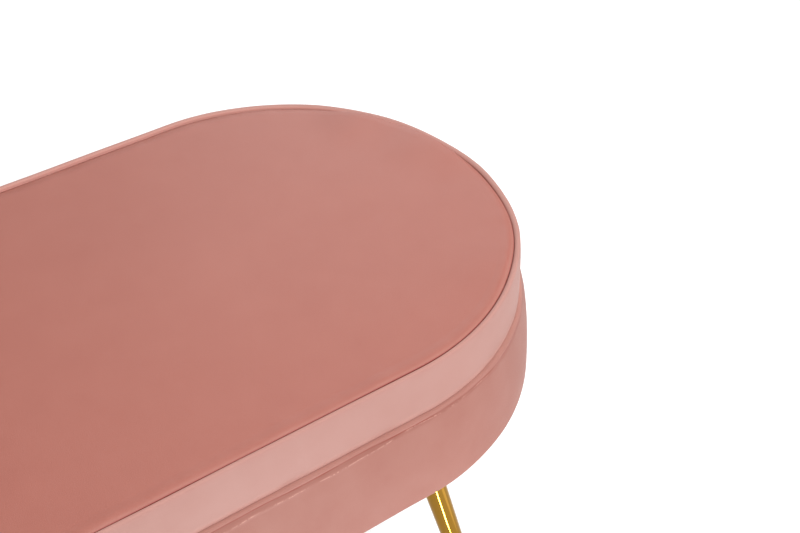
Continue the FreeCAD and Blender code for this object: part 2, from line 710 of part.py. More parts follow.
def make_glide(corner, along, depth):
    """A moulded foot: a collar a little wider than the tube's end, with a plug up its bore."""
    label = f"glide_{corner}"
    collar_cone = leg_cone(f"{label}_collar_cone", along, depth, "-Dimensions.glide_overhang")
    plug_cone = leg_cone(f"{label}_plug_cone", along, depth, "Dimensions.leg_wall + Dimensions.snug_gap")
    collar_span = layer(f"{label}_collar_span", "0", "Dimensions.glide_height")
    plug_span = layer(f"{label}_plug_span", "0", "Dimensions.glide_height + Dimensions.glide_plug_length")
    collar = combine("Part::Common", f"{label}_collar", collar_cone, collar_span)
    plug = combine("Part::Common", f"{label}_plug", plug_cone, plug_span)
    return combine("Part::Fuse", label, collar, plug)


def make_leg_plate(corner, along, depth):
    """The rounded square plate on the leg's top, with a bolt hole near each corner."""
    label = f"leg_plate_{corner}"
    half = "Dimensions.plate_size / 2"
    body = plank(label, f"-{half}", half, f"-{half}", half, "0", "Dimensions.plate_thickness")
    fillet_edges(body, lambda box: box.ZLength > box.XLength + box.YLength, "Dimensions.plate_corner_radius")
    drill(body, "bolt_holes", PLATE_HOLE_PLACES, "Levels.bolt_hole_radius", "Dimensions.plate_thickness")
    body.setExpression("Placement.Base.x", f"{along} * Levels.leg_x")
    body.setExpression("Placement.Base.y", f"{depth} * Levels.leg_y")
    body.setExpression("Placement.Base.z", "Levels.plate_level")
    return body


# Fasteners

def make_leg_bolts():
    body = new_body("leg_bolts")
    rods(body, "bolt_shanks", BOLT_PLACES, "Dimensions.bolt_radius", "Levels.plate_level",
         "Dimensions.bolt_length")
    rods(body, "bolt_heads", BOLT_PLACES, "Dimensions.bolt_head_radius",
         "Levels.plate_level - Dimensions.bolt_head_height", "Dimensions.bolt_head_height")
    return body


def make_nuts():
    """T-nuts: a barrel down in the bottom board and a flange on its upper face."""
    body = new_body("t_nuts")
    rods(body, "nut_barrels", BOLT_PLACES, "Dimensions.nut_barrel_radius",
         "Levels.rib_level - Dimensions.nut_barrel_length", "Dimensions.nut_barrel_length")
    rods(body, "nut_flanges", BOLT_PLACES, "Dimensions.nut_flange_radius", "Levels.rib_level",
         "Dimensions.nut_flange_thickness")
    drill(body, "nut_bores", BOLT_PLACES, "Dimensions.bolt_radius + Dimensions.snug_gap",
          "Levels.rib_level + Dimensions.nut_flange_thickness")
    return body


def make_frame_screws():
    """Wood screws down through the deck and up through the bottom board, into the ribs."""
    body = new_body("frame_screws")
    rods(body, "upper_shanks", UPPER_SCREWS, "Dimensions.screw_radius",
         "Levels.deck_top - Dimensions.screw_head_height - Dimensions.frame_screw_length",
         "Dimensions.frame_screw_length")
    rods(body, "upper_heads", UPPER_SCREWS, "Dimensions.screw_head_radius",
         "Levels.deck_top - Dimensions.screw_head_height", "Dimensions.screw_head_height")
    rods(body, "lower_heads", LOWER_SCREWS, "Dimensions.screw_head_radius",
         "Levels.bottom_board_level", "Dimensions.screw_head_height")
    rods(body, "lower_shanks", LOWER_SCREWS, "Dimensions.screw_radius",
         "Levels.bottom_board_level + Dimensions.screw_head_height", "Dimensions.frame_screw_length")
    return body


def make_cushion_screws():
    """Wood screws up through the deck, which hold the seat cushion down."""
    body = new_body("cushion_screws")
    rods(body, "screw_shanks", CUSHION_SCREW_PLACES, "Dimensions.screw_radius", "Levels.deck_level",
         "Dimensions.cushion_screw_length")
    rods(body, "screw_heads", CUSHION_SCREW_PLACES, "Dimensions.screw_head_radius",
         "Levels.deck_level - Dimensions.screw_head_height", "Dimensions.screw_head_height")
    return body


# Assembly

def make_nodes():
    nodes = [make_top_panel(), make_wadding(), make_seat_foam(), make_boxing(), make_cushion_board()]
    nodes += [make_bottom_board(), make_deck(), *make_ribs(), *make_wall_strips()]
    nodes += [make_foam_wrap(), make_ledge_strip(), make_side_band(), make_dust_cover()]
    for depth_name, depth in FRONT_REAR.items():
        for along_name, along in LEFT_RIGHT.items():
            corner = f"{depth_name}_{along_name}"
            nodes.append(make_leg_tube(corner, along, depth))
            nodes.append(make_leg_plate(corner, along, depth))
            nodes.append(make_glide(corner, along, depth))
    nodes += [make_leg_bolts(), make_nuts(), make_frame_screws(), make_cushion_screws()]
    return nodes


def check(nodes):
    document.recompute()
    for item in document.Objects:
        if "Invalid" in item.State or "Error" in item.State:
            raise RuntimeError(f"{item.Label} failed: {item.State}")
    for node in nodes:
        if node.Shape.isNull() or not node.Shape.isValid() or not node.Shape.Solids:
            raise RuntimeError(f"{node.Label} has no valid solid")


nodes = make_nodes()
check(nodes)
os.makedirs("parts", exist_ok=True)
for node in nodes:
    node.Shape.exportStep(f"parts/{node.Label}.step")
    print(f"{node.Label}: {len(node.Shape.Solids)} solids, {node.Shape.Volume / 1000:.1f} cm3")
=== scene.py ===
"""The looks of a stadium bench pouf: velvet covers, filling, dust cover and finishes round the frame.

Metres, Z up, in the frame's own axes: X along the pouf, Y from front to rear, the floor at zero.
"""
import functools
import math
from typing import NamedTuple

import bmesh
import bpy
from mathutils import Matrix, Vector, noise


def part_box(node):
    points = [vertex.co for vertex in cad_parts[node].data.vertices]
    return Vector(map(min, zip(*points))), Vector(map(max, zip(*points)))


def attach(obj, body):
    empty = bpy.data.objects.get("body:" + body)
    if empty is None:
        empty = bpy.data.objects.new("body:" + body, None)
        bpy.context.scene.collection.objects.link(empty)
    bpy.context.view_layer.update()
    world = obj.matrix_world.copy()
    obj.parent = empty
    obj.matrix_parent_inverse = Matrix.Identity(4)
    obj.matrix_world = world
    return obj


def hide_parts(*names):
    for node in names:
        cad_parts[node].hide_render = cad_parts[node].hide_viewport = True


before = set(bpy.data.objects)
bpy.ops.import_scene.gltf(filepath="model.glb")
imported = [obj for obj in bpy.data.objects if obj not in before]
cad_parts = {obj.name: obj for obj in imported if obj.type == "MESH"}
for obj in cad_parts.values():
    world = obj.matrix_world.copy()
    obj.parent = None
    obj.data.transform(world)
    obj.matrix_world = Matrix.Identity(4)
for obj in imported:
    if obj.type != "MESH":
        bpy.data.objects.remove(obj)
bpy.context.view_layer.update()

# Sizes read from the frame
HEM_LOW, HEM_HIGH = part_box("base_side_band")
BOXING_LOW, BOXING_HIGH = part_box("seat_boxing_band")
PANEL_LOW, PANEL_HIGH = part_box("seat_top_panel")
DUST_LOW, DUST_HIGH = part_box("dust_cover")
FOAM_LOW, FOAM_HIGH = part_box("seat_foam")
WRAP_LOW, WRAP_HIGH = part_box("base_foam_wrap")
WALL_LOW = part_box("wall_strip_front")[0]
BOLT_LOW, BOLT_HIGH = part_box("leg_bolts")
BASE_RADIUS = HEM_HIGH.y
END_OFFSET = HEM_HIGH.x - BASE_RADIUS
UNDERSIDE = HEM_LOW.z
LEDGE_LEVEL = BOXING_LOW.z
LIP_LEVEL = BOXING_HIGH.z
CUSHION_RADIUS = BOXING_HIGH.y
PANEL_EDGE = PANEL_HIGH.y
TUCK_LEVEL = PANEL_LOW.z
CROWN_LEVEL = PANEL_HIGH.z
DUST_RADIUS = DUST_HIGH.y
WALL_RADIUS = -WALL_LOW.y
CORNERS = ("front_left", "front_right", "rear_left", "rear_right")

# Sizes of the covers
CLOTH = 0.0015
FIT_GAP = 0.0003
BASE_FLARE = 0.007
HEM_BEND = 0.003
HEM_LAP = 0.076
SHOULDER_BEND = 0.003
SEAM_ANGLE = 8
STRIP_LAP = 0.030
BOXING_BEND = 0.0012
BOXING_LAP = 0.030
BOXING_DRAW_IN = 0.0025
LIP_BEND = 0.002
LIP_RISE = 0.004
ROLL_WIDTH = 0.015
ROLL_DROP = 0.0045
WADDING_THICKNESS = 0.004

# What follows from them
SHOULDER_MIDDLE = BASE_RADIUS - BASE_FLARE - SHOULDER_BEND
SHOULDER_LEVEL = LEDGE_LEVEL - SHOULDER_BEND
HEM_LEVEL = UNDERSIDE + HEM_BEND
BOXING_TOP_RADIUS = CUSHION_RADIUS - BOXING_DRAW_IN
BOXING_BEND_LEVEL = LEDGE_LEVEL + BOXING_BEND
LIP_MIDDLE = BOXING_TOP_RADIUS - LIP_BEND
LIP_START = LIP_LEVEL - LIP_BEND
BOXING_RISE = LIP_START - BOXING_BEND_LEVEL
SEAM_LEVEL = LIP_LEVEL - LIP_RISE
PLATEAU_LEVEL = SEAM_LEVEL + ROLL_DROP
PLATEAU_RADIUS = PANEL_EDGE + FIT_GAP / 2 - ROLL_WIDTH
DOME_RISE = CROWN_LEVEL - PLATEAU_LEVEL
DOME_ARC = (PLATEAU_RADIUS ** 2 + DOME_RISE ** 2) / (2 * DOME_RISE)
ROLL_ARC = (ROLL_WIDTH ** 2 + ROLL_DROP ** 2) / (2 * ROLL_DROP)

# How finely the covers are divided
SIDE_STEPS = 240
END_STEPS = 260
SHARP_ANGLE = math.radians(50)
MERGE_DISTANCE = 1e-6


# Shapes carried round the stadium

class Station(NamedTuple):
    """A place on the outline: the centre it turns about, the outward direction, the way round to it."""
    middle: float
    out_x: float
    out_y: float
    way: float

    def at(self, radius, level):
        return Vector((self.middle + radius * self.out_x, radius * self.out_y, level))


class LinePoint(NamedTuple):
    """A point on a cover's profile, its outward normal, and how far along the profile it lies."""
    radius: float
    level: float
    normal_radius: float
    normal_level: float
    run: float


SIDE_LENGTH = 2 * END_OFFSET
END_LENGTH = math.pi * BASE_RADIUS
WHOLE_WAY = 2 * (SIDE_LENGTH + END_LENGTH)


def make_stations():
    """Places round the outline, anticlockwise from the front left."""
    found = []
    for side, start_way in ((1, 0.0), (-1, WHOLE_WAY / 2)):
        for step in range(SIDE_STEPS):
            share = step / SIDE_STEPS
            middle = side * (2 * share - 1) * END_OFFSET
            found.append(Station(middle, 0.0, -side, start_way + share * SIDE_LENGTH))
        for step in range(END_STEPS):
            share = step / END_STEPS
            angle = math.pi * (share - side / 2)
            way = start_way + SIDE_LENGTH + share * END_LENGTH
            found.append(Station(side * END_OFFSET, math.cos(angle), math.sin(angle), way))
    return found


STATIONS = make_stations()


def arc(across, up, radius, start, stop, count):
    """Points on an arc of a profile, from one angle to another in degrees, both ends included."""
    angles = [math.radians(start + (stop - start) * step / count) for step in range(count + 1)]
    return [(across + radius * math.cos(angle), up + radius * math.sin(angle)) for angle in angles]


def bowed(radius, level, draw_in, rise, counts, fine=0.0):
    """A side that starts upright and bows inwards as it rises, first end left out.

    counts gives its steps up to the fine stretch at its top, and those on that stretch.
    """
    bow = (rise ** 2 + draw_in ** 2) / (2 * draw_in)
    coarse_count, fine_count = counts
    heights = [(rise - fine) * step / coarse_count for step in range(1, coarse_count + 1)]
    heights += [rise - fine + fine * step / fine_count for step in range(1, fine_count + 1)]
    return [(radius - bow + math.sqrt(bow ** 2 - height ** 2), level + height) for height in heights]


def straight(start, stop, count):
    """Points on a straight stretch of a profile, last end left out."""
    return [
        (start[0] + (stop[0] - start[0]) * step / count, start[1] + (stop[1] - start[1]) * step / count)
        for step in range(count)
    ]


def cornered(corners, counts):
    """Straight stretches from corner to corner, each with its count of steps, last corner left out."""
    points = []
    for start, stop, count in zip(corners, corners[1:], counts):
        points += straight(start, stop, count)
    return points


def profile_line(points):
    """Profile points with their normals, which lie to the right of the way that the profile runs."""
    line = []
    run = 0.0
    for index, (radius, level) in enumerate(points):
        before = points[max(index - 1, 0)]
        after = points[min(index + 1, len(points) - 1)]
        across, up = after[0] - before[0], after[1] - before[1]
        length = math.hypot(across, up)
        if index:
            run += math.hypot(radius - before[0], level - before[1])
        line.append(LinePoint(radius, level, up / length, -across / length, run))
    return line


def add_to_scene(name, data):
    """A new object in the scene."""
    made = bpy.data.objects.new(name, data)
    bpy.context.scene.collection.objects.link(made)
    return made


def new_object(name, vertices, faces, shades=None):
    """A smooth mesh piece. shades names values, from 0 to 1 at each vertex, that its finish reads."""
    mesh = bpy.data.meshes.new(name)
    mesh.from_pydata(vertices, [], faces)
    for shade_name, values in (shades or {}).items():
        mesh.attributes.new(shade_name, "FLOAT", "POINT").data.foreach_set("value", values)
    work = bmesh.new()
    work.from_mesh(mesh)
    bmesh.ops.remove_doubles(work, verts=work.verts, dist=MERGE_DISTANCE)
    work.to_mesh(mesh)
    work.free()
    mesh.shade_smooth()
    mesh.set_sharp_from_angle(angle=SHARP_ANGLE)
    return add_to_scene(name, mesh)


def no_move(station, point):
    """No shift at all."""
    return 0.0, 0.0


def loop_faces(rows, columns, closed, first=0, looped=True):
    """Quads between each row of vertices and the next, from a first vertex on.

    looped joins the last row to the first, and closed does so for the columns.
    """
    faces = []
    for row in range(rows if looped else rows - 1):
        here, there = first + row * columns, first + (row + 1) % rows * columns
        for column in range(columns if closed else columns - 1):
            after = (column + 1) % columns
            faces.append((here + column, there + column, there + after, here + after))
    return faces


def carried_round(name, line, closed, move=no_move, **shades):
    """A profile carried round the stadium. move gives each point's shift outwards and upwards.

    Each shade gives a value at a station and a point.
    """
    vertices = []
    for station in STATIONS:
        for point in line:
            out, up = move(station, point)
            vertices.append(station.at(point.radius + out, point.level + up))
    values = {
        shade_name: [value(station, point) for station in STATIONS for point in line]
        for shade_name, value in shades.items()
    }
    return new_object(name, vertices, loop_faces(len(STATIONS), len(line), closed), values)


def band_of_cloth(name, points, move=no_move, **shades):
    """Velvet along a profile, with its thickness, carried round the stadium."""
    outer = profile_line(points)
    inner = [
        point._replace(
            radius=point.radius - CLOTH * point.normal_radius,
            level=point.level - CLOTH * point.normal_level,
        )
        for point in reversed(outer)
    ]
    return carried_round(name, outer + inner, True, move, **shades)


def filled_form(name, points, move=no_move, **shades):
    """A closed form: its half profile, from the axis below or inside round to the axis above."""
    return carried_round(name, profile_line(points), False, move, **shades)


# Brings the noise out to about -1 and 1
NOISE_GAIN = 1.6


class Ripple(NamedTuple):
    """An unevenness along the outline: its height, about how long its swells are, and its noise's seed."""
    height: float
    wave: float
    seed: float


@functools.cache
def uneven(station, kind):
    """How far an unevenness rises or sinks at a station."""
    place = station.at(BASE_RADIUS, 0.0)
    found = noise.noise(Vector((place.x / kind.wave, place.y / kind.wave, kind.seed)))
    return kind.height * (NOISE_GAIN * found)


def fade(distance, width):
    """One at no distance, falling smoothly to nothing at a width."""
    share = min(abs(distance) / width, 1.0)
    return 1 - share * share * (3 - 2 * share)


def along(point, amount):
    """A shift along a profile point's normal, outwards and upwards."""
    return amount * point.normal_radius, amount * point.normal_level


# Where the filling swells over the edge of the cushion

class Swell(NamedTuple):
    """A stretch of the edge where the panel rises by some height and the lip sinks."""
    way: float
    reach: float
    rise: float
    sink: float


def right_end_way(degrees):
    """The way round to a place on the right end, at an angle from the X axis towards the rear."""
    return SIDE_LENGTH + END_LENGTH * (0.5 + degrees / 180)


def left_end_way(degrees):
    """The way round to the place across the middle from one on the right end."""
    return right_end_way(degrees) + WHOLE_WAY / 2


SWELLS = (
    Swell(right_end_way(34), 0.055, 0.0040, 0.0006),
    Swell(right_end_way(11), 0.075, 0.0042, 0.0020),
    Swell(right_end_way(-48), 0.060, 0.0016, 0.0005),
    Swell(SIDE_LENGTH * 0.42, 0.085, 0.0014, 0.0006),
    Swell(WHOLE_WAY / 2 + SIDE_LENGTH * 0.30, 0.300, 0.0000, -0.0010),
    Swell(WHOLE_WAY / 2 + SIDE_LENGTH * 0.80, 0.080, 0.0022, 0.0009),
    Swell(left_end_way(28), 0.070, 0.0026, 0.0012),
    Swell(left_end_way(-35), 0.060, 0.0020, 0.0007),
)
# Where a swell is highest, how far it reaches in and out from there, and the edge that it leaves alone
SWELL_INSET = 0.0050
SWELL_MIDDLE = PANEL_EDGE - SWELL_INSET
SWELL_INNER = 0.060
SWELL_OUTER = 0.016
SWELL_EDGE = 0.0045
# The bulge of the right end
BULGE_OUT = 0.0016
BULGE_ANGLE = -32
BULGE_REACH = 0.075
BULGE_INSIDE = 0.05
# The unevenness of the lip and the panel
LIP_WAVER = Ripple(0.0005, 0.085, 1.3)
GATHERS = Ripple(0.00035, 0.016, 2.7)
GATHER_REACH = 0.022
DIP_HEIGHT = 0.0011
DIP_WIDTH = 0.13
DIP_SEED = 4.1
DIP_CLEAR = 0.05
# How far the seam between panel and lip strays from its plain place
PANEL_EDGE_LIFT = 0.0030
PANEL_LIFT_REACH = 0.013
END_SEAM_IN = 0.0013
END_SEAM_REACH = 0.020


@functools.cache
def swell_rise(station):
    """How far the swells lift the panel near its edge."""
    return sum(swell.rise * fade(station.way - swell.way, swell.reach) for swell in SWELLS)


@functools.cache
def end_bulge(station):
    """How far the cushion's edge stands out over the ledge at the right end."""
    return BULGE_OUT * fade(station.way - right_end_way(BULGE_ANGLE), BULGE_REACH)


@functools.cache
def lip_lift(station):
    """How far the lip stands above its plain height."""
    sink = sum(swell.sink * fade(station.way - swell.way, swell.reach) for swell in SWELLS)
    return uneven(station, LIP_WAVER) - sink


def edge_lift(station):
    """How far the panel's edge stands above its plain height: less at the ends, and nothing at the rear."""
    return PANEL_EDGE_LIFT * (1 - station.out_y) / 2


def seam_in(station):
    """How far in the top seam lies round the ends, where the lip is wider."""
    return END_SEAM_IN * abs(station.out_x)


def crown_move(station, point):
    """The crown's unevenness: swells by the edge, gathers at the seam and broad dips in the middle."""
    inside = PANEL_EDGE - point.radius
    held = 1 - fade(inside, SWELL_EDGE)
    past_middle = point.radius - SWELL_MIDDLE
    swell = swell_rise(station) * fade(past_middle, SWELL_OUTER if past_middle > 0 else SWELL_INNER)
    gather = uneven(station, GATHERS) * fade(inside, GATHER_REACH)
    place = station.at(point.radius, 0.0)
    dip = noise.noise(Vector((place.x / DIP_WIDTH, place.y / DIP_WIDTH, DIP_SEED)))
    dips = DIP_HEIGHT * dip * (1 - fade(inside, DIP_CLEAR))
    lift = edge_lift(station) * fade(inside, PANEL_LIFT_REACH)
    out = end_bulge(station) * fade(inside, BULGE_INSIDE) - seam_in(station) * fade(inside, END_SEAM_REACH)
    return out, held * (swell + gather) + dips + lift


# Seat cushion

# Steps on the crown's rolled edge and on its dome
CROWN_STEPS = (24, 28)
UNDER_STEPS = (6, 12)
# How wide and how strong the painted shade in the seams and the painted light are
SEAM_SHADE = 0.0010
LIP_SHADE = 0.0006
LIP_TRACE = 0.06
PANEL_PAINTED_LIGHT_REACH = 0.004
LIP_TOP_PAINTED_LIGHT = 0.5
LIP_PAINT_REACH = 0.0055
FOOT_PAINTED_LIGHT = 0.55
FOOT_PAINTED_LIGHT_REACH = 0.0065
# The boxing's finely divided stretch and its unevenness
BOXING_FINE = 0.008
BOXING_SLACK = Ripple(0.0006, 0.15, 3.1)
LIP_GATHERS = Ripple(0.00028, 0.013, 7.7)
LIP_GATHER_PLACE = 0.006
LIP_GATHER_REACH = 0.010
FOOT_PUCKERS = Ripple(0.00030, 0.018, 5.2)
FOOT_PUCKER_PLACE = 0.004
FOOT_PUCKER_REACH = 0.009
BULGE_BELOW_LIP = 0.040
LIP_LIFT_REACH = 0.022


def crown_level(radius, drop):
    """The height of the crowned top at a radius, a drop below its face."""
    if radius <= PLATEAU_RADIUS:
        return CROWN_LEVEL - drop - DOME_ARC + math.sqrt(DOME_ARC ** 2 - radius ** 2)
    return PLATEAU_LEVEL - drop - ROLL_ARC + math.sqrt(ROLL_ARC ** 2 - (radius - PLATEAU_RADIUS) ** 2)


def crown_points(radius, drop, steps):
    """The crowned top's profile from a radius in to the axis, with steps on its roll and on its dome."""
    roll_count, dome_count = steps
    roll = [radius + (PLATEAU_RADIUS - radius) * step / roll_count for step in range(roll_count)]
    dome = [PLATEAU_RADIUS * (1 - step / dome_count) for step in range(dome_count + 1)]
    return [(place, crown_level(place, drop)) for place in roll + dome]


def panel_seam_shade(station, point):
    """Painted shade at the panel's edge, down in the seam's groove."""
    return fade(PANEL_EDGE - point.radius, SEAM_SHADE)


def panel_rub(station, point):
    """Painted highlight along the panel's rolled edge."""
    return fade(PANEL_EDGE - point.radius, PANEL_PAINTED_LIGHT_REACH)


def make_top_panel():
    """The velvet top panel, crowned over its filling, its edge folded down into the seam."""
    tuck_radius = PANEL_EDGE - CLOTH
    points = [
        *crown_points(tuck_radius, CLOTH, UNDER_STEPS)[::-1],
        *straight((tuck_radius, TUCK_LEVEL), (PANEL_EDGE, TUCK_LEVEL), 2),
        *straight((PANEL_EDGE, TUCK_LEVEL), (PANEL_EDGE, crown_level(PANEL_EDGE, 0)), 3),
        *crown_points(PANEL_EDGE, 0, CROWN_STEPS),
    ]
    panel = filled_form("seat_top_cover", points, crown_move, seam=panel_seam_shade, rub=panel_rub)
    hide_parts("seat_top_panel")
    return panel


def make_wadding():
    """The soft layer under the top panel, following its swells."""
    drop = CLOTH + FIT_GAP
    radius = PANEL_EDGE - CLOTH - FIT_GAP
    lower = crown_points(radius, drop + WADDING_THICKNESS, UNDER_STEPS)
    points = lower[::-1] + crown_points(radius, drop, UNDER_STEPS)
    wadding = filled_form("seat_wadding_layer", points, crown_move)
    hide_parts("seat_wadding")
    return wadding


def make_seat_foam():
    """The foam block on the cushion's board, crowned as the panel is."""
    drop = CLOTH + WADDING_THICKNESS + 2 * FIT_GAP
    radius = PANEL_EDGE - CLOTH - FIT_GAP
    side_top = TUCK_LEVEL - FIT_GAP
    crown = crown_points(radius, drop, UNDER_STEPS)
    corners = [(0.0, FOAM_LOW.z), (FOAM_HIGH.y, FOAM_LOW.z), (FOAM_HIGH.y, side_top), crown[0]]
    points = cornered(corners, (12, 6, 2)) + crown

    def move(station, point):
        """Keep the crown's rim clear of the panel's tucked edge."""
        if point.level <= side_top:
            return 0.0, 0.0
        return -seam_in(station) * fade(radius - point.radius, END_SEAM_REACH), 0.0

    foam = filled_form("seat_foam_core", points, move)
    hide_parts("seat_foam")
    return foam


def boxing_move(station, point):
    """The boxing's slack, its gathers under the lip and over its foot, and the lip's rise and fall."""
    below_lip = LIP_LEVEL - point.level
    above_foot = point.level - LEDGE_LEVEL
    outer = max(point.normal_radius, 0.0)
    slack = uneven(station, BOXING_SLACK) * math.sin(math.pi * above_foot / (LIP_LEVEL - LEDGE_LEVEL))
    gathers = uneven(station, LIP_GATHERS) * fade(below_lip - LIP_GATHER_PLACE, LIP_GATHER_REACH)
    puckers = uneven(station, FOOT_PUCKERS) * fade(above_foot - FOOT_PUCKER_PLACE, FOOT_PUCKER_REACH)
    bulge = end_bulge(station) * fade(below_lip, BULGE_BELOW_LIP)
    inner = (1 - point.normal_radius) / 2 if point.level > TUCK_LEVEL - CLOTH else 0.0
    out = outer * (slack + gathers + puckers) + bulge - inner * seam_in(station)
    return out, lip_lift(station) * fade(below_lip, LIP_LIFT_REACH)


def boxing_seam_shade(station, point):
    """Painted shade on the lip's inner face down in the seam's groove, and a trace of it over the lip."""
    if point.normal_radius < 0 and point.level > TUCK_LEVEL:
        return fade(max(point.level - SEAM_LEVEL - edge_lift(station) + LIP_SHADE, 0.0), LIP_SHADE)
    return LIP_TRACE * fade(LIP_LEVEL - point.level, LIP_PAINT_REACH)


def boxing_rub(station, point):
    """Painted light on the lip's inner face and its top, and where the boxing turns in at its foot, lifting
    the shade there.
    """
    lip_top = LIP_TOP_PAINTED_LIGHT * max(point.normal_level, 0.0) * fade(LIP_LEVEL - point.level, LIP_PAINT_REACH)
    foot = FOOT_PAINTED_LIGHT * fade(point.level - LEDGE_LEVEL, FOOT_PAINTED_LIGHT_REACH)
    return max(-point.normal_radius, lip_top, foot)


def make_boxing():
    """The band round the cushion: lapped under its board, drawn in, and rolled over into the seam."""
    foot = CUSHION_RADIUS - BOXING_BEND
    seam_face = LIP_MIDDLE - LIP_BEND
    points = [
        *straight((foot - BOXING_LAP, LEDGE_LEVEL), (foot, LEDGE_LEVEL), 4),
        *arc(foot, BOXING_BEND_LEVEL, BOXING_BEND, -90, 0, 8),
        *bowed(CUSHION_RADIUS, BOXING_BEND_LEVEL, BOXING_DRAW_IN, BOXING_RISE, (14, 6), BOXING_FINE),
        *arc(LIP_MIDDLE, LIP_START, LIP_BEND, 0, 180, 12)[1:],
        *straight((seam_face, LIP_START), (seam_face, TUCK_LEVEL), 10)[1:],
        (seam_face, TUCK_LEVEL),
    ]
    boxing = band_of_cloth("seat_boxing_cover", points, boxing_move, seam=boxing_seam_shade, rub=boxing_rub)
    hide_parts("seat_boxing_band")
    return boxing


# Base tier

# The sewn shoulder
GROOVE_DEPTH = 0.0009
GROOVE_WIDTH = 0.0030
SEAM_WAVER = Ripple(0.0010, 0.055, 2.9)
END_SLACK = 0.7
SHORT_PUCKERS = Ripple(0.00030, 0.011, 9.4)
LONG_PUCKERS = Ripple(0.00025, 0.030, 6.6)
PUCKER_REACH = 0.020
BULGE_BELOW_SEAM = 0.012
# The turned-in edge under the shoulder seam
CREASE_PLACE = 0.0042
CREASE_WAVER = Ripple(0.0008, 0.060, 5.9)
CREASE_JITTER = Ripple(0.0004, 0.014, 3.3)
CREASE_CLOSING = 0.8
CREASE_CLOSING_REACH = 0.100
# The painted highlight over the turned-in edge: how wide it is, and how it fades round the ends
CREASE_HIGHLIGHT_WIDTH = 0.0008
CREASE_HIGHLIGHT_END = 0.75
RIDGE_HEIGHT = 0.00035
RIDGE_WIDTH = 0.0022
RIDGE_SHARE = 0.7
RIDGE_UNEVEN = Ripple(0.5, 0.024, 8.3)
# Painted shade at the shoulder seam, and painted light on the strip
SEAM_LINE_SHADE = 0.68
SEAM_LINE_UNEVEN = Ripple(0.30, 0.018, 2.2)
SOFT_SHADE = 0.11
SOFT_SHADE_REACH = 0.0065
STRIP_PAINTED_LIGHT = 0.5
STRIP_PAINTED_LIGHT_REACH = 0.005
# The foam's ease under the shoulder, and the finely divided stretches
SLEEVE_EASE = 0.0016
SLEEVE_EASE_REACH = 0.022
LEDGE_FINE = 0.008
SHOULDER_FINE = 0.013
# The side band's unevenness and the pleats of its hem
SIDE_SLACK = 0.0008
SIDE_SLACK_WIDTH = 0.060
HEM_WAVER = Ripple(0.0004, 0.055, 3.9)
HEM_WAVER_REACH = 0.4
PLEATS = Ripple(0.0006, 0.011, 4.4)
PLEAT_REACH = 0.006


@functools.cache
def crease_place(station):
    """How far below the shoulder seam the turned-in edge shows: it runs up to the seam towards the ends."""
    place = CREASE_PLACE + uneven(station, CREASE_WAVER) + uneven(station, CREASE_JITTER)
    from_end = END_OFFSET - abs(station.middle)
    return place * (1 - CREASE_CLOSING * fade(from_end, CREASE_CLOSING_REACH))


def seam_pull(station):
    """How hard the shoulder seam pulls the cloth in: less round the ends than along the sides."""
    return 1 - END_SLACK * abs(station.out_x)


def shoulder_rise(station, below):
    """How far the sewn shoulder stands out, at a distance below its plain line.

    It has a groove at the seam, puckers from it, and a ridge over the turned-in edge.
    """
    groove = -GROOVE_DEPTH * seam_pull(station) * fade(below - uneven(station, SEAM_WAVER), GROOVE_WIDTH)
    puckers = (uneven(station, SHORT_PUCKERS) + uneven(station, LONG_PUCKERS)) * fade(below, PUCKER_REACH)
    ridge = RIDGE_HEIGHT * fade(below - crease_place(station), RIDGE_WIDTH)
    ridge *= RIDGE_SHARE + uneven(station, RIDGE_UNEVEN)
    return groove + puckers + ridge - end_bulge(station) * fade(below, BULGE_BELOW_SEAM)


def shoulder_seam_shade(station, below):
    """Painted shade in the seam's groove, and a softer painted shade to both sides of it."""
    astray = below - uneven(station, SEAM_WAVER)
    line_shade = (SEAM_LINE_SHADE + uneven(station, SEAM_LINE_UNEVEN)) * fade(astray, SEAM_SHADE)
    return seam_pull(station) * max(line_shade, SOFT_SHADE * fade(astray, SOFT_SHADE_REACH))


def make_ledge_strip():
    """The narrow velvet strip on the ledge, sewn to the side band at the shoulder."""
    fine_end = SHOULDER_MIDDLE - LEDGE_FINE
    lap_end = SHOULDER_MIDDLE - STRIP_LAP

    def move(station, point):
        return along(point, shoulder_rise(station, -point.run) * fade(point.run, LEDGE_FINE))

    # Painted shade at the shoulder seam
    def seam(station, point):
        return shoulder_seam_shade(station, -point.run)

    # Painted light by the boxing's foot, lifting the shade on the strip, stronger round the ends
    def rub(station, point):
        return STRIP_PAINTED_LIGHT * (1 + abs(station.out_x)) * fade(point.radius - CUSHION_RADIUS, STRIP_PAINTED_LIGHT_REACH)

    points = [
        *arc(SHOULDER_MIDDLE, SHOULDER_LEVEL, SHOULDER_BEND, SEAM_ANGLE, 90, 6),
        *straight((SHOULDER_MIDDLE, LEDGE_LEVEL), (fine_end, LEDGE_LEVEL), 8)[1:],
        *straight((fine_end, LEDGE_LEVEL), (lap_end, LEDGE_LEVEL), 3),
        (lap_end, LEDGE_LEVEL),
    ]
    strip = band_of_cloth("base_ledge_cover", points, move, seam=seam, rub=rub)
    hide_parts("base_ledge_strip")
    return strip


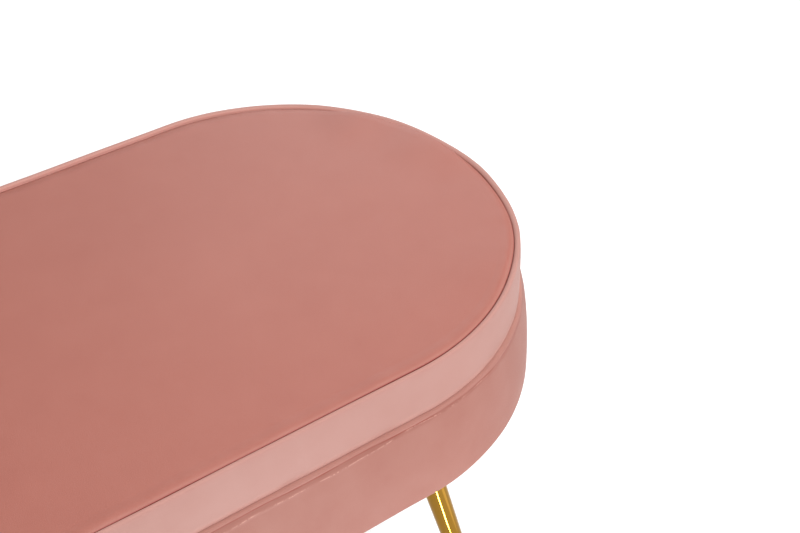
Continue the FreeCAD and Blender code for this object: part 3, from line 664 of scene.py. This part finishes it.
def make_side_band():
    """The flared velvet side of the base, its hem lapped under the bottom board and pleated at the ends."""
    bend_start = BASE_RADIUS - HEM_BEND
    rise = SHOULDER_LEVEL - HEM_LEVEL
    points = [
        *straight((bend_start - HEM_LAP, UNDERSIDE), (DUST_RADIUS, UNDERSIDE), 3),
        *straight((DUST_RADIUS, UNDERSIDE), (bend_start, UNDERSIDE), 8),
        *arc(bend_start, HEM_LEVEL, HEM_BEND, -90, 0, 7),
        *bowed(BASE_RADIUS, HEM_LEVEL, BASE_FLARE, rise, (24, 22), SHOULDER_FINE),
        *arc(SHOULDER_MIDDLE, SHOULDER_LEVEL, SHOULDER_BEND, 0, SEAM_ANGLE, 6)[1:],
    ]
    seam_run = profile_line(points)[-1].run
    pleat_middle = (DUST_RADIUS + bend_start) / 2

    def move(station, point):
        height = min(max((point.level - UNDERSIDE) / (LEDGE_LEVEL - UNDERSIDE), 0.0), 1.0)
        outer = max(point.normal_radius, 0.0)
        drift = noise.noise(station.at(BASE_RADIUS, point.level) / SIDE_SLACK_WIDTH)
        slack = SIDE_SLACK * drift * math.sin(math.pi * height)
        hem = uneven(station, HEM_WAVER) * fade(height, HEM_WAVER_REACH)
        pleat = max(uneven(station, PLEATS), 0.0) * abs(station.out_x)
        under = max(-point.normal_level, 0.0) * fade(point.radius - pleat_middle, PLEAT_REACH)
        rise_out = shoulder_rise(station, seam_run - point.run) + outer * (slack + hem) + under * pleat
        return along(point, rise_out)

    # Painted shade at the shoulder seam
    def seam(station, point):
        return shoulder_seam_shade(station, seam_run - point.run)

    # A painted highlight over the ridge of the turned-in edge, on the straight sides
    def crease(station, point):
        shown = fade(station.out_x, CREASE_HIGHLIGHT_END)
        return shown * fade(seam_run - point.run - crease_place(station), CREASE_HIGHLIGHT_WIDTH)

    band = band_of_cloth("base_side_cover", points, move, seam=seam, crease=crease)
    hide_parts("base_side_band")
    return band


def make_foam_wrap():
    """The foam between the frame's wall and the side band."""
    room = CLOTH + FIT_GAP
    inner = WALL_RADIUS + FIT_GAP
    rise = WRAP_HIGH.z - HEM_LEVEL
    side = bowed(BASE_RADIUS - room, HEM_LEVEL, BASE_FLARE, rise, (12, 0))
    points = [
        (inner, WRAP_LOW.z),
        *straight((BASE_RADIUS - HEM_BEND, WRAP_LOW.z), (BASE_RADIUS - room, HEM_LEVEL), 3),
        *side,
        *straight((side[-1][0], WRAP_HIGH.z), (inner, WRAP_HIGH.z), 3)[1:],
        *straight((inner, WRAP_HIGH.z), (inner, WRAP_LOW.z), 6),
    ]

    def move(station, point):
        """Ease the outer face in under the shoulder, where the side band is pulled tight."""
        if point.radius < inner + FIT_GAP:
            return 0.0, 0.0
        return -(SLEEVE_EASE + end_bulge(station)) * fade(WRAP_HIGH.z - point.level, SLEEVE_EASE_REACH), 0.0

    wrap = carried_round("base_foam_sleeve", profile_line(points), True, move)
    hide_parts("base_foam_wrap")
    return wrap


# Underside

DUST_THICKNESS = 0.0004
DUST_HEM = 0.012
DUST_SAG = 0.0025
SAG_CLEAR = 0.12
PLATE_CLEAR = 0.075
STAPLE_SPACING = 0.038
STAPLE_CLEAR = PLATE_CLEAR * 0.6
STAPLE_INSET = 0.006
STAPLE_CROWN = 0.010
STAPLE_WIDTH = 0.0012
STAPLE_THICKNESS = 0.0006
STAPLE_LEG = 0.003
STAPLE_SIDES = 4
STAPLE_ROUND = 0.3
STAPLE_SPREAD = Ripple(0.15, 0.07, 1.9)
STAPLE_STRAY = Ripple(0.001, 0.05, 6.1)
STAPLE_TURN = Ripple(0.2, 0.06, 8.8)
DUST_CREASES = Ripple(0.0003, STAPLE_SPACING / 2, 7.1)
DUST_CREASE_REACH = 0.05


def plate_middle(corner):
    """The middle of the leg plate at a corner."""
    low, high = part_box(f"leg_plate_{corner}")
    return (low + high) / 2


PLATE_MIDDLES = [plate_middle(corner) for corner in CORNERS]


def from_plates(place):
    """The distance, seen from above, to the nearest leg plate's middle."""
    return min((place - middle).to_2d().length for middle in PLATE_MIDDLES)


def make_dust_cover():
    """The black cloth under the base: a folded hem, creases from its staples and a sag off the plates."""
    low, high = DUST_LOW.z, DUST_HIGH.z - FIT_GAP / 4
    face = high - DUST_THICKNESS
    hem_start = DUST_RADIUS - DUST_HEM

    def move(station, point):
        place = station.at(point.radius, 0.0)
        inside = DUST_RADIUS - point.radius
        free = 1 - fade(from_plates(place), PLATE_CLEAR)
        sag = DUST_SAG * (1 - fade(inside, SAG_CLEAR)) * free
        crease = max(uneven(station, DUST_CREASES), 0.0) * fade(inside - DUST_HEM, DUST_CREASE_REACH) * free
        return 0.0, -sag - crease

    rim = DUST_RADIUS - DUST_THICKNESS
    fold = (DUST_RADIUS, (low + high) / 2)
    hem = ((hem_start, face), (hem_start + DUST_THICKNESS, low), (rim, low), fold, (rim, high))
    corners = [(0.0, face), *hem, (0.0, high)]
    points = cornered(corners, (18, 1, 4, 2, 2, 18)) + corners[-1:]
    cover = filled_form("dust_cover_cloth", points, move)
    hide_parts("dust_cover")
    return cover


def staple_shape(place, direction, vertices, faces):
    """Add one staple: a flat wire bent up at both ends, its crown at a place and along a direction."""
    across = Vector((-direction.y, direction.x, 0.0)) * STAPLE_WIDTH / 2
    half = STAPLE_CROWN / 2
    bend = STAPLE_THICKNESS
    cut = STAPLE_ROUND * bend
    path = (
        (-half, STAPLE_LEG), (-half, bend), (-half + cut, cut), (-half + bend, 0.0),
        (half - bend, 0.0), (half - cut, cut), (half, bend), (half, STAPLE_LEG),
    )
    middle = (0.0, STAPLE_LEG)
    first = len(vertices)
    for run, up in path:
        inward = Vector((middle[0] - run, middle[1] - up)).normalized() * STAPLE_THICKNESS
        for shift_run, shift_up in ((0.0, 0.0), inward):
            point = place + direction * (run + shift_run) + Vector((0.0, 0.0, up + shift_up))
            vertices += [point - across, point + across]
    for step in range(len(path) - 1):
        here = first + STAPLE_SIDES * step
        there = here + STAPLE_SIDES
        for corner, after in ((0, 1), (1, 3), (3, 2), (2, 0)):
            faces.append((here + corner, there + corner, there + after, here + after))
    faces.append((first, first + 1, first + 3, first + 2))
    last = len(vertices) - STAPLE_SIDES
    faces.append((last, last + 2, last + 3, last + 1))


def make_staples():
    """The staples round the dust cover's hem, a little uneven, left out where the leg plates lie."""
    vertices, faces = [], []
    radius = DUST_RADIUS - STAPLE_INSET
    level = DUST_LOW.z - STAPLE_THICKNESS
    next_way = 0.0
    for station in STATIONS:
        if station.way < next_way:
            continue
        next_way = station.way + STAPLE_SPACING * (1 + uneven(station, STAPLE_SPREAD))
        place = station.at(radius + uneven(station, STAPLE_STRAY), level)
        if from_plates(place) < STAPLE_CLEAR:
            continue
        turn = Matrix.Rotation(uneven(station, STAPLE_TURN), 3, "Z")
        staple_shape(place, turn @ Vector((-station.out_y, station.out_x, 0.0)), vertices, faces)
    return new_object("dust_cover_staples", vertices, faces)


BOLT_SPACING = 0.036
BOLT_RADIUS = 0.0029
BOLT_HEAD_RADIUS = 0.0055
BOLT_HEAD_EDGE = 0.0006
BOLT_HEAD_STEPS = 6
BOLT_SOCKET = 0.0020
SOCKET_RIM = 1.45
SOCKET_DEPTH = 0.0018
BOLT_SIDES = 24
BOLT_SPIN = 0.4
THREAD_PITCH = 0.0008
THREAD_DEPTH = 0.0003


def hexagon_reach(angle, flat):
    """The distance from a hexagon's middle to its side at an angle, with the side's own distance given."""
    sixth = math.pi / 3
    return flat / math.cos((angle + sixth / 2) % sixth - sixth / 2)


def bolt_rings(head_level):
    """Rings of a button-head screw, as radius and level at each angle, from its socket round to its tip."""
    head_height = head_level - BOLT_LOW.z
    angles = [math.tau * side / BOLT_SIDES for side in range(BOLT_SIDES)]
    hexagon = [hexagon_reach(angle, BOLT_SOCKET) for angle in angles]
    floor = BOLT_LOW.z + SOCKET_DEPTH
    rings = [[(0.0, floor)] * BOLT_SIDES]
    rings.append([(reach, floor) for reach in hexagon])
    rings.append([(reach, BOLT_LOW.z) for reach in hexagon])
    dome_start = BOLT_SOCKET * SOCKET_RIM
    dome_height = head_height - BOLT_HEAD_EDGE
    for step in range(BOLT_HEAD_STEPS + 1):
        turn = math.pi / 2 * step / BOLT_HEAD_STEPS
        radius = dome_start + (BOLT_HEAD_RADIUS - dome_start) * math.sin(turn)
        rings.append([(radius, BOLT_LOW.z + dome_height * (1 - math.cos(turn)))] * BOLT_SIDES)
    rings.append([(BOLT_HEAD_RADIUS, head_level)] * BOLT_SIDES)
    turns = int((BOLT_HIGH.z - head_level) / THREAD_PITCH)
    rings.append([(BOLT_RADIUS, head_level)] * BOLT_SIDES)
    for step in range(2, 2 * turns):
        depth = THREAD_DEPTH * (step % 2)
        rings.append([(BOLT_RADIUS - depth, head_level + step * THREAD_PITCH / 2)] * BOLT_SIDES)
    rings.append([(BOLT_RADIUS - 2 * THREAD_DEPTH, BOLT_HIGH.z)] * BOLT_SIDES)
    rings.append([(0.0, BOLT_HIGH.z)] * BOLT_SIDES)
    return rings


def add_bolt(rings, place, spin, vertices, faces):
    """Add one screw: its rings about a place, turned by a spin, and the faces between them."""
    first = len(vertices)
    for ring in rings:
        for side, (radius, level) in enumerate(ring):
            angle = math.tau * side / BOLT_SIDES + spin
            x = place.x + radius * math.cos(angle)
            y = place.y + radius * math.sin(angle)
            vertices.append((x, y, level))
    faces += loop_faces(len(rings), BOLT_SIDES, True, first, looped=False)


def make_bolts():
    """The 16 screws that hold the leg plates, with domed heads, hexagon sockets and threads."""
    vertices, faces = [], []
    for middle, corner in zip(PLATE_MIDDLES, CORNERS):
        rings = bolt_rings(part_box(f"leg_plate_{corner}")[0].z)
        for sign_x in (-1, 1):
            for sign_y in (-1, 1):
                place = middle + Vector((sign_x, sign_y, 0.0)) * BOLT_SPACING / 2
                spin = BOLT_SPIN * (sign_x + 2 * sign_y) + place.x
                add_bolt(rings, place, spin, vertices, faces)
    bolts = new_object("leg_bolt_set", vertices, faces)
    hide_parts("leg_bolts")
    return bolts


WELD_SIZE = 0.0018
WELD_STEPS = 72
WELD_SIDES = 8
WELD_RIPPLE = 0.12
WELD_RIPPLE_STEPS = 3
WELD_SINK = 0.5
TOP_TOLERANCE = 1e-5


def leg_top(corner):
    """The middle and the two half widths, along X and Y, of a leg's top where it meets its plate."""
    points = [vertex.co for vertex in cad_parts[f"leg_{corner}"].data.vertices]
    top = max(point.z for point in points)
    ring = [point for point in points if point.z > top - TOP_TOLERANCE]
    low = Vector((min(point.x for point in ring), min(point.y for point in ring), top))
    high = Vector((max(point.x for point in ring), max(point.y for point in ring), top))
    return (low + high) / 2, (high - low) / 2


def make_welds():
    """The bead of weld round each leg's top, under its plate."""
    vertices, faces = [], []
    for corner in CORNERS:
        middle, half = leg_top(corner)
        first = len(vertices)
        for step in range(WELD_STEPS):
            angle = math.tau * step / WELD_STEPS
            out = Vector((math.cos(angle), math.sin(angle), 0.0))
            rim = middle + Vector((half.x * out.x, half.y * out.y, 0.0))
            size = WELD_SIZE * (1 + WELD_RIPPLE * math.sin(step * math.tau / WELD_RIPPLE_STEPS))
            for side in range(WELD_SIDES):
                turn = math.tau * side / WELD_SIDES
                up = size * math.sin(turn) - size * WELD_SINK
                vertices.append(rim + out * size * math.cos(turn) + Vector((0.0, 0.0, up)))
        faces += loop_faces(WELD_STEPS, WELD_SIDES, True, first)
    return new_object("leg_weld_beads", vertices, faces)


# Finishes

class Finish:
    """A material in the making: its shader, and short calls that add nodes and join them."""

    def __init__(self, name, **values):
        self.material = bpy.data.materials.new(name)
        self.material.use_nodes = True
        self.tree = self.material.node_tree
        self.shader = self.tree.nodes["Principled BSDF"]
        self.place = self.tree.nodes.new("ShaderNodeTexCoord").outputs["Object"]
        self.fill(self.shader, values)

    def feed(self, source, socket):
        """Join a node's output to an input, or set the input to a plain value."""
        if isinstance(source, bpy.types.NodeSocket):
            self.tree.links.new(source, socket)
        else:
            socket.default_value = source

    def fill(self, node, values):
        """Feed a node's inputs, named with _ for each space."""
        for name, source in values.items():
            self.feed(source, node.inputs[name.replace("_", " ")])

    def node(self, kind, settings=None, **values):
        """A new node with its settings, and its inputs fed."""
        made = self.tree.nodes.new(f"ShaderNode{kind}")
        for setting, value in (settings or {}).items():
            setattr(made, setting, value)
        self.fill(made, values)
        return made

    def noise(self, scale, detail=2.0, stretch=(1, 1, 1), distortion=0.0):
        """Soft noise from 0 to 1, with about scale swells in a metre, times the stretch along each axis."""
        place = self.node("Mapping", Vector=self.place, Scale=stretch).outputs["Vector"]
        made = self.node("TexNoise", Vector=place, Scale=scale, Detail=detail, Distortion=distortion)
        return made.outputs["Fac"]

    def math(self, operation, first, second):
        """Two values put together by an operation."""
        made = self.node("Math", {"operation": operation})
        self.feed(first, made.inputs[0])
        self.feed(second, made.inputs[1])
        return made.outputs["Value"]

    def spread(self, source, low, high, new_low=0.0, new_high=1.0):
        """Stretch a range of values over another, held at its ends."""
        ends = dict(From_Min=low, From_Max=high, To_Min=new_low, To_Max=new_high)
        return self.node("MapRange", {"clamp": True}, Value=source, **ends).outputs["Result"]

    def mix(self, share, first, second):
        """A colour between two others."""
        return self.node("Mix", {"data_type": "RGBA"}, Factor=share, A=first, B=second).outputs["Result"]

    def attribute(self, name):
        """The values that a mesh carries under a name, nothing where it has none."""
        return self.node("Attribute", {"attribute_name": name}).outputs["Fac"]

    def colour(self, source):
        self.fill(self.shader, {"Base_Color": source})

    def roughness(self, source):
        self.fill(self.shader, {"Roughness": source})

    def bump(self, height, depth, strength=1.0):
        """Raise the surface by a height from 0 to 1, times a depth."""
        made = self.node("Bump", Height=height, Distance=depth, Strength=strength)
        self.fill(self.shader, {"Normal": made.outputs["Normal"]})


# The stretch of a noise's values where most of them lie
NOISE_RANGE = (0.3, 0.7)
SHEEN_TINT = (1.0, 0.86, 0.82, 1.0)
# Colours of the painted shade in the seams' grooves
SEAM_SHADE_COLOUR = (0.32, 0.055, 0.038, 1.0)
SHOULDER_SHADE_COLOUR = (0.26, 0.060, 0.044, 1.0)
NAP_AWAY = (0.965, 0.925, 0.915)
NAP_TOWARDS = (1.035, 1.075, 1.085)
PATCH_SHARE = 0.55
MOTTLE_SHARE = 0.45
LONG_DASHES = (0.42, 0.58)
SHORT_DASHES = (0.40, 0.58)
PILE_ROUGHNESS = (0.48, 0.56)
PILE_DEPTH = 0.0004
PILE_STRENGTH = 0.5
GOLD_ROUGHNESS = (0.05, 0.11)
FOAM_CELLS = 700
DUST_DOTS = 620
DOT_DISORDER = 0.15


def shade(colour, shares):
    """A colour with each channel made darker or lighter by a share, opaque."""
    return tuple(channel * share for channel, share in zip(colour, shares)) + (1.0,)


def make_velvet(name, colour, rubbed, shine, evenness, seam_shadow_colour=SEAM_SHADE_COLOUR):
    """Cut velvet: brushed patches of nap and a fine pile, lightened by painted light where a piece's values
    call for it, and darkened by painted shade in the seams.

    The patches stand out less with more evenness.
    """
    finish = Finish(
        name,
        Sheen_Weight=0.03,
        Sheen_Roughness=0.45,
        Sheen_Tint=SHEEN_TINT,
        Specular_IOR_Level=shine,
    )
    patches = finish.noise(scale=6, detail=2, distortion=0.6)
    mottle = finish.noise(scale=38, detail=3)
    pile = finish.noise(scale=2600, detail=2, stretch=(1, 1, 0.6))
    broad = finish.math("MULTIPLY", patches, PATCH_SHARE)
    fine = finish.math("MULTIPLY", mottle, MOTTLE_SHARE)
    blend = finish.math("ADD", broad, fine)
    lean = finish.spread(blend, 0.5 - evenness, 0.5 + evenness)
    nap = finish.mix(lean, shade(colour, NAP_AWAY), shade(colour, NAP_TOWARDS))
    # The crease's painted highlight, broken into dashes
    long_dashes = finish.spread(finish.noise(scale=70, detail=1), *LONG_DASHES)
    short_dashes = finish.spread(finish.noise(scale=420, detail=1), *SHORT_DASHES)
    highlight_dashes = finish.math("MULTIPLY", long_dashes, short_dashes)
    crease = finish.math("MULTIPLY", finish.attribute("crease"), highlight_dashes)
    # Painted light: a lighter colour that lifts shade and stands in for highlights
    painted_light_share = finish.math("MAXIMUM", finish.attribute("rub"), crease)
    lit = finish.mix(painted_light_share, nap, rubbed + (1.0,))
    # Painted shade darkens the nap in the seams' grooves
    finish.colour(finish.mix(finish.attribute("seam"), lit, seam_shadow_colour))
    finish.roughness(finish.spread(pile, *NOISE_RANGE, *PILE_ROUGHNESS))
    finish.bump(pile, PILE_DEPTH, PILE_STRENGTH)
    return finish.material


def make_gold():
    """Polished gold-coloured plating with faint draw marks down the tube."""
    finish = Finish(
        "gold_plating",
        Metallic=1.0,
        Specular_Tint=(0.75, 0.64, 0.50, 1.0),
        Coat_Weight=0.25,
        Coat_Roughness=0.05,
    )
    streaks = finish.noise(scale=60, detail=4, stretch=(1, 1, 0.12))
    finish.colour(finish.mix(streaks, (0.272, 0.136, 0.008, 1.0), (0.312, 0.158, 0.010, 1.0)))
    finish.roughness(finish.spread(streaks, *NOISE_RANGE, *GOLD_ROUGHNESS))
    return finish.material


def make_plain(name, first, second, scale, rough, depth, stretch=(1, 1, 1), **values):
    """A finish with soft noise, stretched along an axis for a grain, in its colour, gloss and surface."""
    finish = Finish(name, **values)
    grain = finish.noise(scale=scale, detail=5, stretch=stretch)
    finish.colour(finish.mix(finish.spread(grain, *NOISE_RANGE), first + (1.0,), second + (1.0,)))
    finish.roughness(finish.spread(grain, *NOISE_RANGE, *rough))
    finish.bump(grain, depth)
    return finish.material


def make_foam_finish():
    """Open-cell foam: small round cells in its surface."""
    finish = Finish("foam", Specular_IOR_Level=0.2)
    cells = finish.node("TexVoronoi", Vector=finish.place, Scale=FOAM_CELLS)
    hollow = finish.spread(cells.outputs["Distance"], 0.0, 0.6)
    # Darker towards each cell's middle, down in its hollow: painted shade
    finish.colour(finish.mix(hollow, (0.62, 0.56, 0.38, 1.0), (0.86, 0.80, 0.62, 1.0)))
    finish.roughness(finish.spread(hollow, 0.0, 1.0, 0.85, 0.97))
    finish.bump(hollow, 0.0005)
    return finish.material


def make_dust_cloth():
    """Black non-woven cloth with its pattern of small bonded dots."""
    finish = Finish("dust_cloth", Specular_IOR_Level=0.25)
    dots = finish.node("TexVoronoi", Vector=finish.place, Scale=DUST_DOTS, Randomness=DOT_DISORDER)
    dot = finish.spread(dots.outputs["Distance"], 0.15, 0.35)
    fibres = finish.noise(scale=1500, detail=4, distortion=2.0)
    web = finish.math("MULTIPLY", dot, fibres)
    finish.colour(finish.mix(web, (0.012, 0.012, 0.013, 1.0), (0.050, 0.050, 0.052, 1.0)))
    finish.roughness(finish.spread(web, 0.0, 0.7, 0.55, 0.92))
    finish.bump(web, 0.0003)
    return finish.material


def paint(piece, material):
    """Give a piece its one material."""
    piece.data.materials.clear()
    piece.data.materials.append(material)


# Floor, light and camera

FLOOR_SIZE = 60.0
FLOOR_LEVEL = -0.0002
FLOOR_GLOW = 0.30
FLOOR_COLOUR = (0.88, 0.88, 0.88, 1.0)
SKY_STRENGTH = 0.32
# Each light's name, place, target, size and power
LIGHTS = (
    ("key", (0.1, -1.9, 2.0), (0.25, 0, 0.4), (0.9, 0.9), 42),
    ("overhead", (0.4, 0.1, 2.4), (0.3, 0, 0.4), (1.4, 1.4), 8),
    ("fill", (2.3, -0.8, 1.3), (0.2, 0, 0.4), (1.6, 1.6), 17),
    ("back", (1.8, 1.9, 1.7), (0.3, 0, 0.4), (1.6, 1.2), 24),
)
# Lights that face up from the floor, mirrored to each leg: the bright line and the pale band on its face
FLOOR_LIGHT_LEVEL = 0.003
FLOOR_LIGHTS = (
    ("line", 0.297, 0.432, (0.03, 0.16), 0.8),
    ("band", 0.625, 0.390, (0.15, 0.12), 0.047),
)


def make_floor():
    """The plain white floor."""
    mesh = bpy.data.meshes.new("floor")
    half = FLOOR_SIZE / 2
    signs = ((-1, -1), (1, -1), (1, 1), (-1, 1))
    corners = [(sign_x * half, sign_y * half, FLOOR_LEVEL) for sign_x, sign_y in signs]
    mesh.from_pydata(corners, [], [(0, 1, 2, 3)])
    floor = add_to_scene("floor", mesh)
    finish = Finish("floor_white", Roughness=0.9, Emission_Color=(1, 1, 1, 1), Emission_Strength=FLOOR_GLOW)
    finish.colour(FLOOR_COLOUR)
    paint(floor, finish.material)


def make_light(name, place, target, size, power):
    """A rectangular light at a place, facing a target."""
    data = bpy.data.lights.new(name, "AREA")
    data.shape = "RECTANGLE"
    data.size, data.size_y = size
    data.energy = power
    light = add_to_scene(name, data)
    light.location = place
    light.rotation_euler = (Vector(target) - Vector(place)).to_track_quat("-Z", "Y").to_euler()
    light.visible_camera = False


def make_lights():
    """The studio's lights, and the floor's lights mirrored to each leg."""
    for values in LIGHTS:
        make_light(*values)
    for corner in CORNERS:
        sign_x = 1 if "right" in corner else -1
        sign_y = 1 if "rear" in corner else -1
        for name, place_x, place_y, size, power in FLOOR_LIGHTS:
            place = Vector((sign_x * place_x, sign_y * place_y, FLOOR_LIGHT_LEVEL))
            make_light(f"{name}_{corner}", place, place + Vector((0, 0, 1)), size, power)


def make_sky():
    """Even white light from all round."""
    world = bpy.data.worlds.new("studio")
    world.use_nodes = True
    background = world.node_tree.nodes["Background"]
    background.inputs["Color"].default_value = (1, 1, 1, 1)
    background.inputs["Strength"].default_value = SKY_STRENGTH
    bpy.context.scene.world = world


# The camera that was fitted to the photo, its angles in radians
CAMERA_PLACE = Vector((-0.14736, -0.75680, 1.12198))
CAMERA_YAW = 0.63874
CAMERA_PITCH = 0.69664
CAMERA_ROLL = 0.01111
FOCAL_PIXELS = 1387.116
IMAGE_WIDTH = 800
SENSOR_WIDTH = 36.0
CLIP_START = 0.01


def make_camera():
    """The photo's camera."""
    data = bpy.data.cameras.new("camera")
    data.sensor_fit = "HORIZONTAL"
    data.sensor_width = SENSOR_WIDTH
    data.lens = FOCAL_PIXELS / IMAGE_WIDTH * SENSOR_WIDTH
    data.clip_start = CLIP_START
    camera = add_to_scene("camera", data)
    ahead = Vector((
        math.sin(CAMERA_YAW) * math.cos(CAMERA_PITCH),
        math.cos(CAMERA_YAW) * math.cos(CAMERA_PITCH),
        -math.sin(CAMERA_PITCH),
    ))
    level_right = Vector((math.cos(CAMERA_YAW), -math.sin(CAMERA_YAW), 0.0))
    level_up = level_right.cross(ahead)
    right = math.cos(CAMERA_ROLL) * level_right + math.sin(CAMERA_ROLL) * level_up
    up = math.cos(CAMERA_ROLL) * level_up - math.sin(CAMERA_ROLL) * level_right
    turn = Matrix((right, up, -ahead)).transposed()
    camera.matrix_world = Matrix.Translation(CAMERA_PLACE) @ turn.to_4x4()
    bpy.context.scene.camera = camera


make_camera()
make_floor()
make_sky()
make_lights()
bpy.context.scene.view_settings.view_transform = "Standard"

# What each piece is made of

EVEN_NAP = 0.26
PATCHY_NAP = 0.12
METAL = dict(depth=0.00003, Metallic=1.0)
WOOD = dict(scale=14, rough=(0.6, 0.75), depth=0.0002, Specular_IOR_Level=0.3)
ALONG = dict(stretch=(0.08, 1, 1))
# The panels' velvet tones differ partly as the nap lies another way on each and partly as painted light:
# the boxing's paler, whiter tone stands in for sheen. Each tone comes with its painted-light colour.
SHOULDER_VELVET = dict(rubbed=(0.57, 0.30, 0.25), shine=0.1, evenness=PATCHY_NAP, seam_shadow_colour=SHOULDER_SHADE_COLOUR)
velvet_top = make_velvet(
    "velvet_top", (0.412, 0.120, 0.083), (0.437, 0.155, 0.116), shine=0.8, evenness=EVEN_NAP
)
velvet_boxing = make_velvet(
    "velvet_boxing", (0.430, 0.232, 0.202), (0.66, 0.34, 0.29), shine=0.1, evenness=EVEN_NAP
)
velvet_side = make_velvet("velvet_side", (0.360, 0.158, 0.128), **SHOULDER_VELVET)
velvet_strip = make_velvet("velvet_strip", (0.385, 0.172, 0.142), **SHOULDER_VELVET)
wadding = make_plain("wadding", (0.84, 0.84, 0.82), (0.94, 0.94, 0.93), 260, (0.85, 0.97), 0.0008)
foam = make_foam_finish()
plywood = make_plain("plywood", (0.55, 0.39, 0.23), (0.72, 0.56, 0.37), **WOOD, **ALONG)
softwood = make_plain("softwood", (0.60, 0.42, 0.23), (0.78, 0.62, 0.40), **WOOD, **ALONG)
hardboard = make_plain("hardboard", (0.22, 0.13, 0.07), (0.33, 0.21, 0.12), 300, (0.5, 0.7), 0.0001)
dust_cloth = make_dust_cloth()
gold = make_gold()
plate_metal = make_plain("plate_metal", (0.42, 0.29, 0.11), (0.52, 0.37, 0.15), 90, (0.25, 0.4), **METAL)
plastic = make_plain(
    "glide_plastic", (0.035, 0.035, 0.037), (0.055, 0.055, 0.057), 900, (0.42, 0.58), 0.0001
)
zinc = make_plain("zinc_plating", (0.55, 0.56, 0.56), (0.68, 0.69, 0.68), 120, (0.28, 0.45), **METAL)
weld = make_plain(
    "weld_bead", (0.40, 0.24, 0.05), (0.52, 0.33, 0.09), 700, (0.2, 0.45), 0.0002, Metallic=1.0
)

PIECES = (
    (make_top_panel(), velvet_top, "velvet_top"),
    (make_wadding(), wadding, "wadding"),
    (make_seat_foam(), foam, "foam"),
    (make_boxing(), velvet_boxing, "velvet_side"),
    (make_ledge_strip(), velvet_strip, "velvet_strip"),
    (make_side_band(), velvet_side, "velvet_side"),
    (make_foam_wrap(), foam, "foam"),
    (make_dust_cover(), dust_cloth, "dust_cloth"),
    (make_staples(), zinc, "zinc_steel"),
    (make_bolts(), zinc, "zinc_steel"),
    (make_welds(), weld, "gold_metal"),
)
# The start of a solid's name, and its finish: the first start that fits counts
NODE_FINISHES = (
    ("leg_plate", plate_metal),
    ("leg_bolts", zinc),
    ("leg", gold),
    ("glide", plastic),
    ("wall_strip", hardboard),
    ("base_rib", softwood),
    ("base_end_rib", softwood),
    ("base_top_board", plywood),
    ("base_bottom_board", plywood),
    ("cushion_board", plywood),
    ("t_nuts", zinc),
    ("frame_screws", zinc),
    ("cushion_screws", zinc),
)


def dress_pieces():
    """Finish each piece made here, and let it ride on the part's one body."""
    for piece, material, slot in PIECES:
        paint(piece, material)
        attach(piece, "root")


def finish_nodes():
    """Finish each solid that the frame brings along."""
    for name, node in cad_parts.items():
        for start, material in NODE_FINISHES:
            if name.startswith(start):
                paint(node, material)
                break


dress_pieces()
finish_nodes()
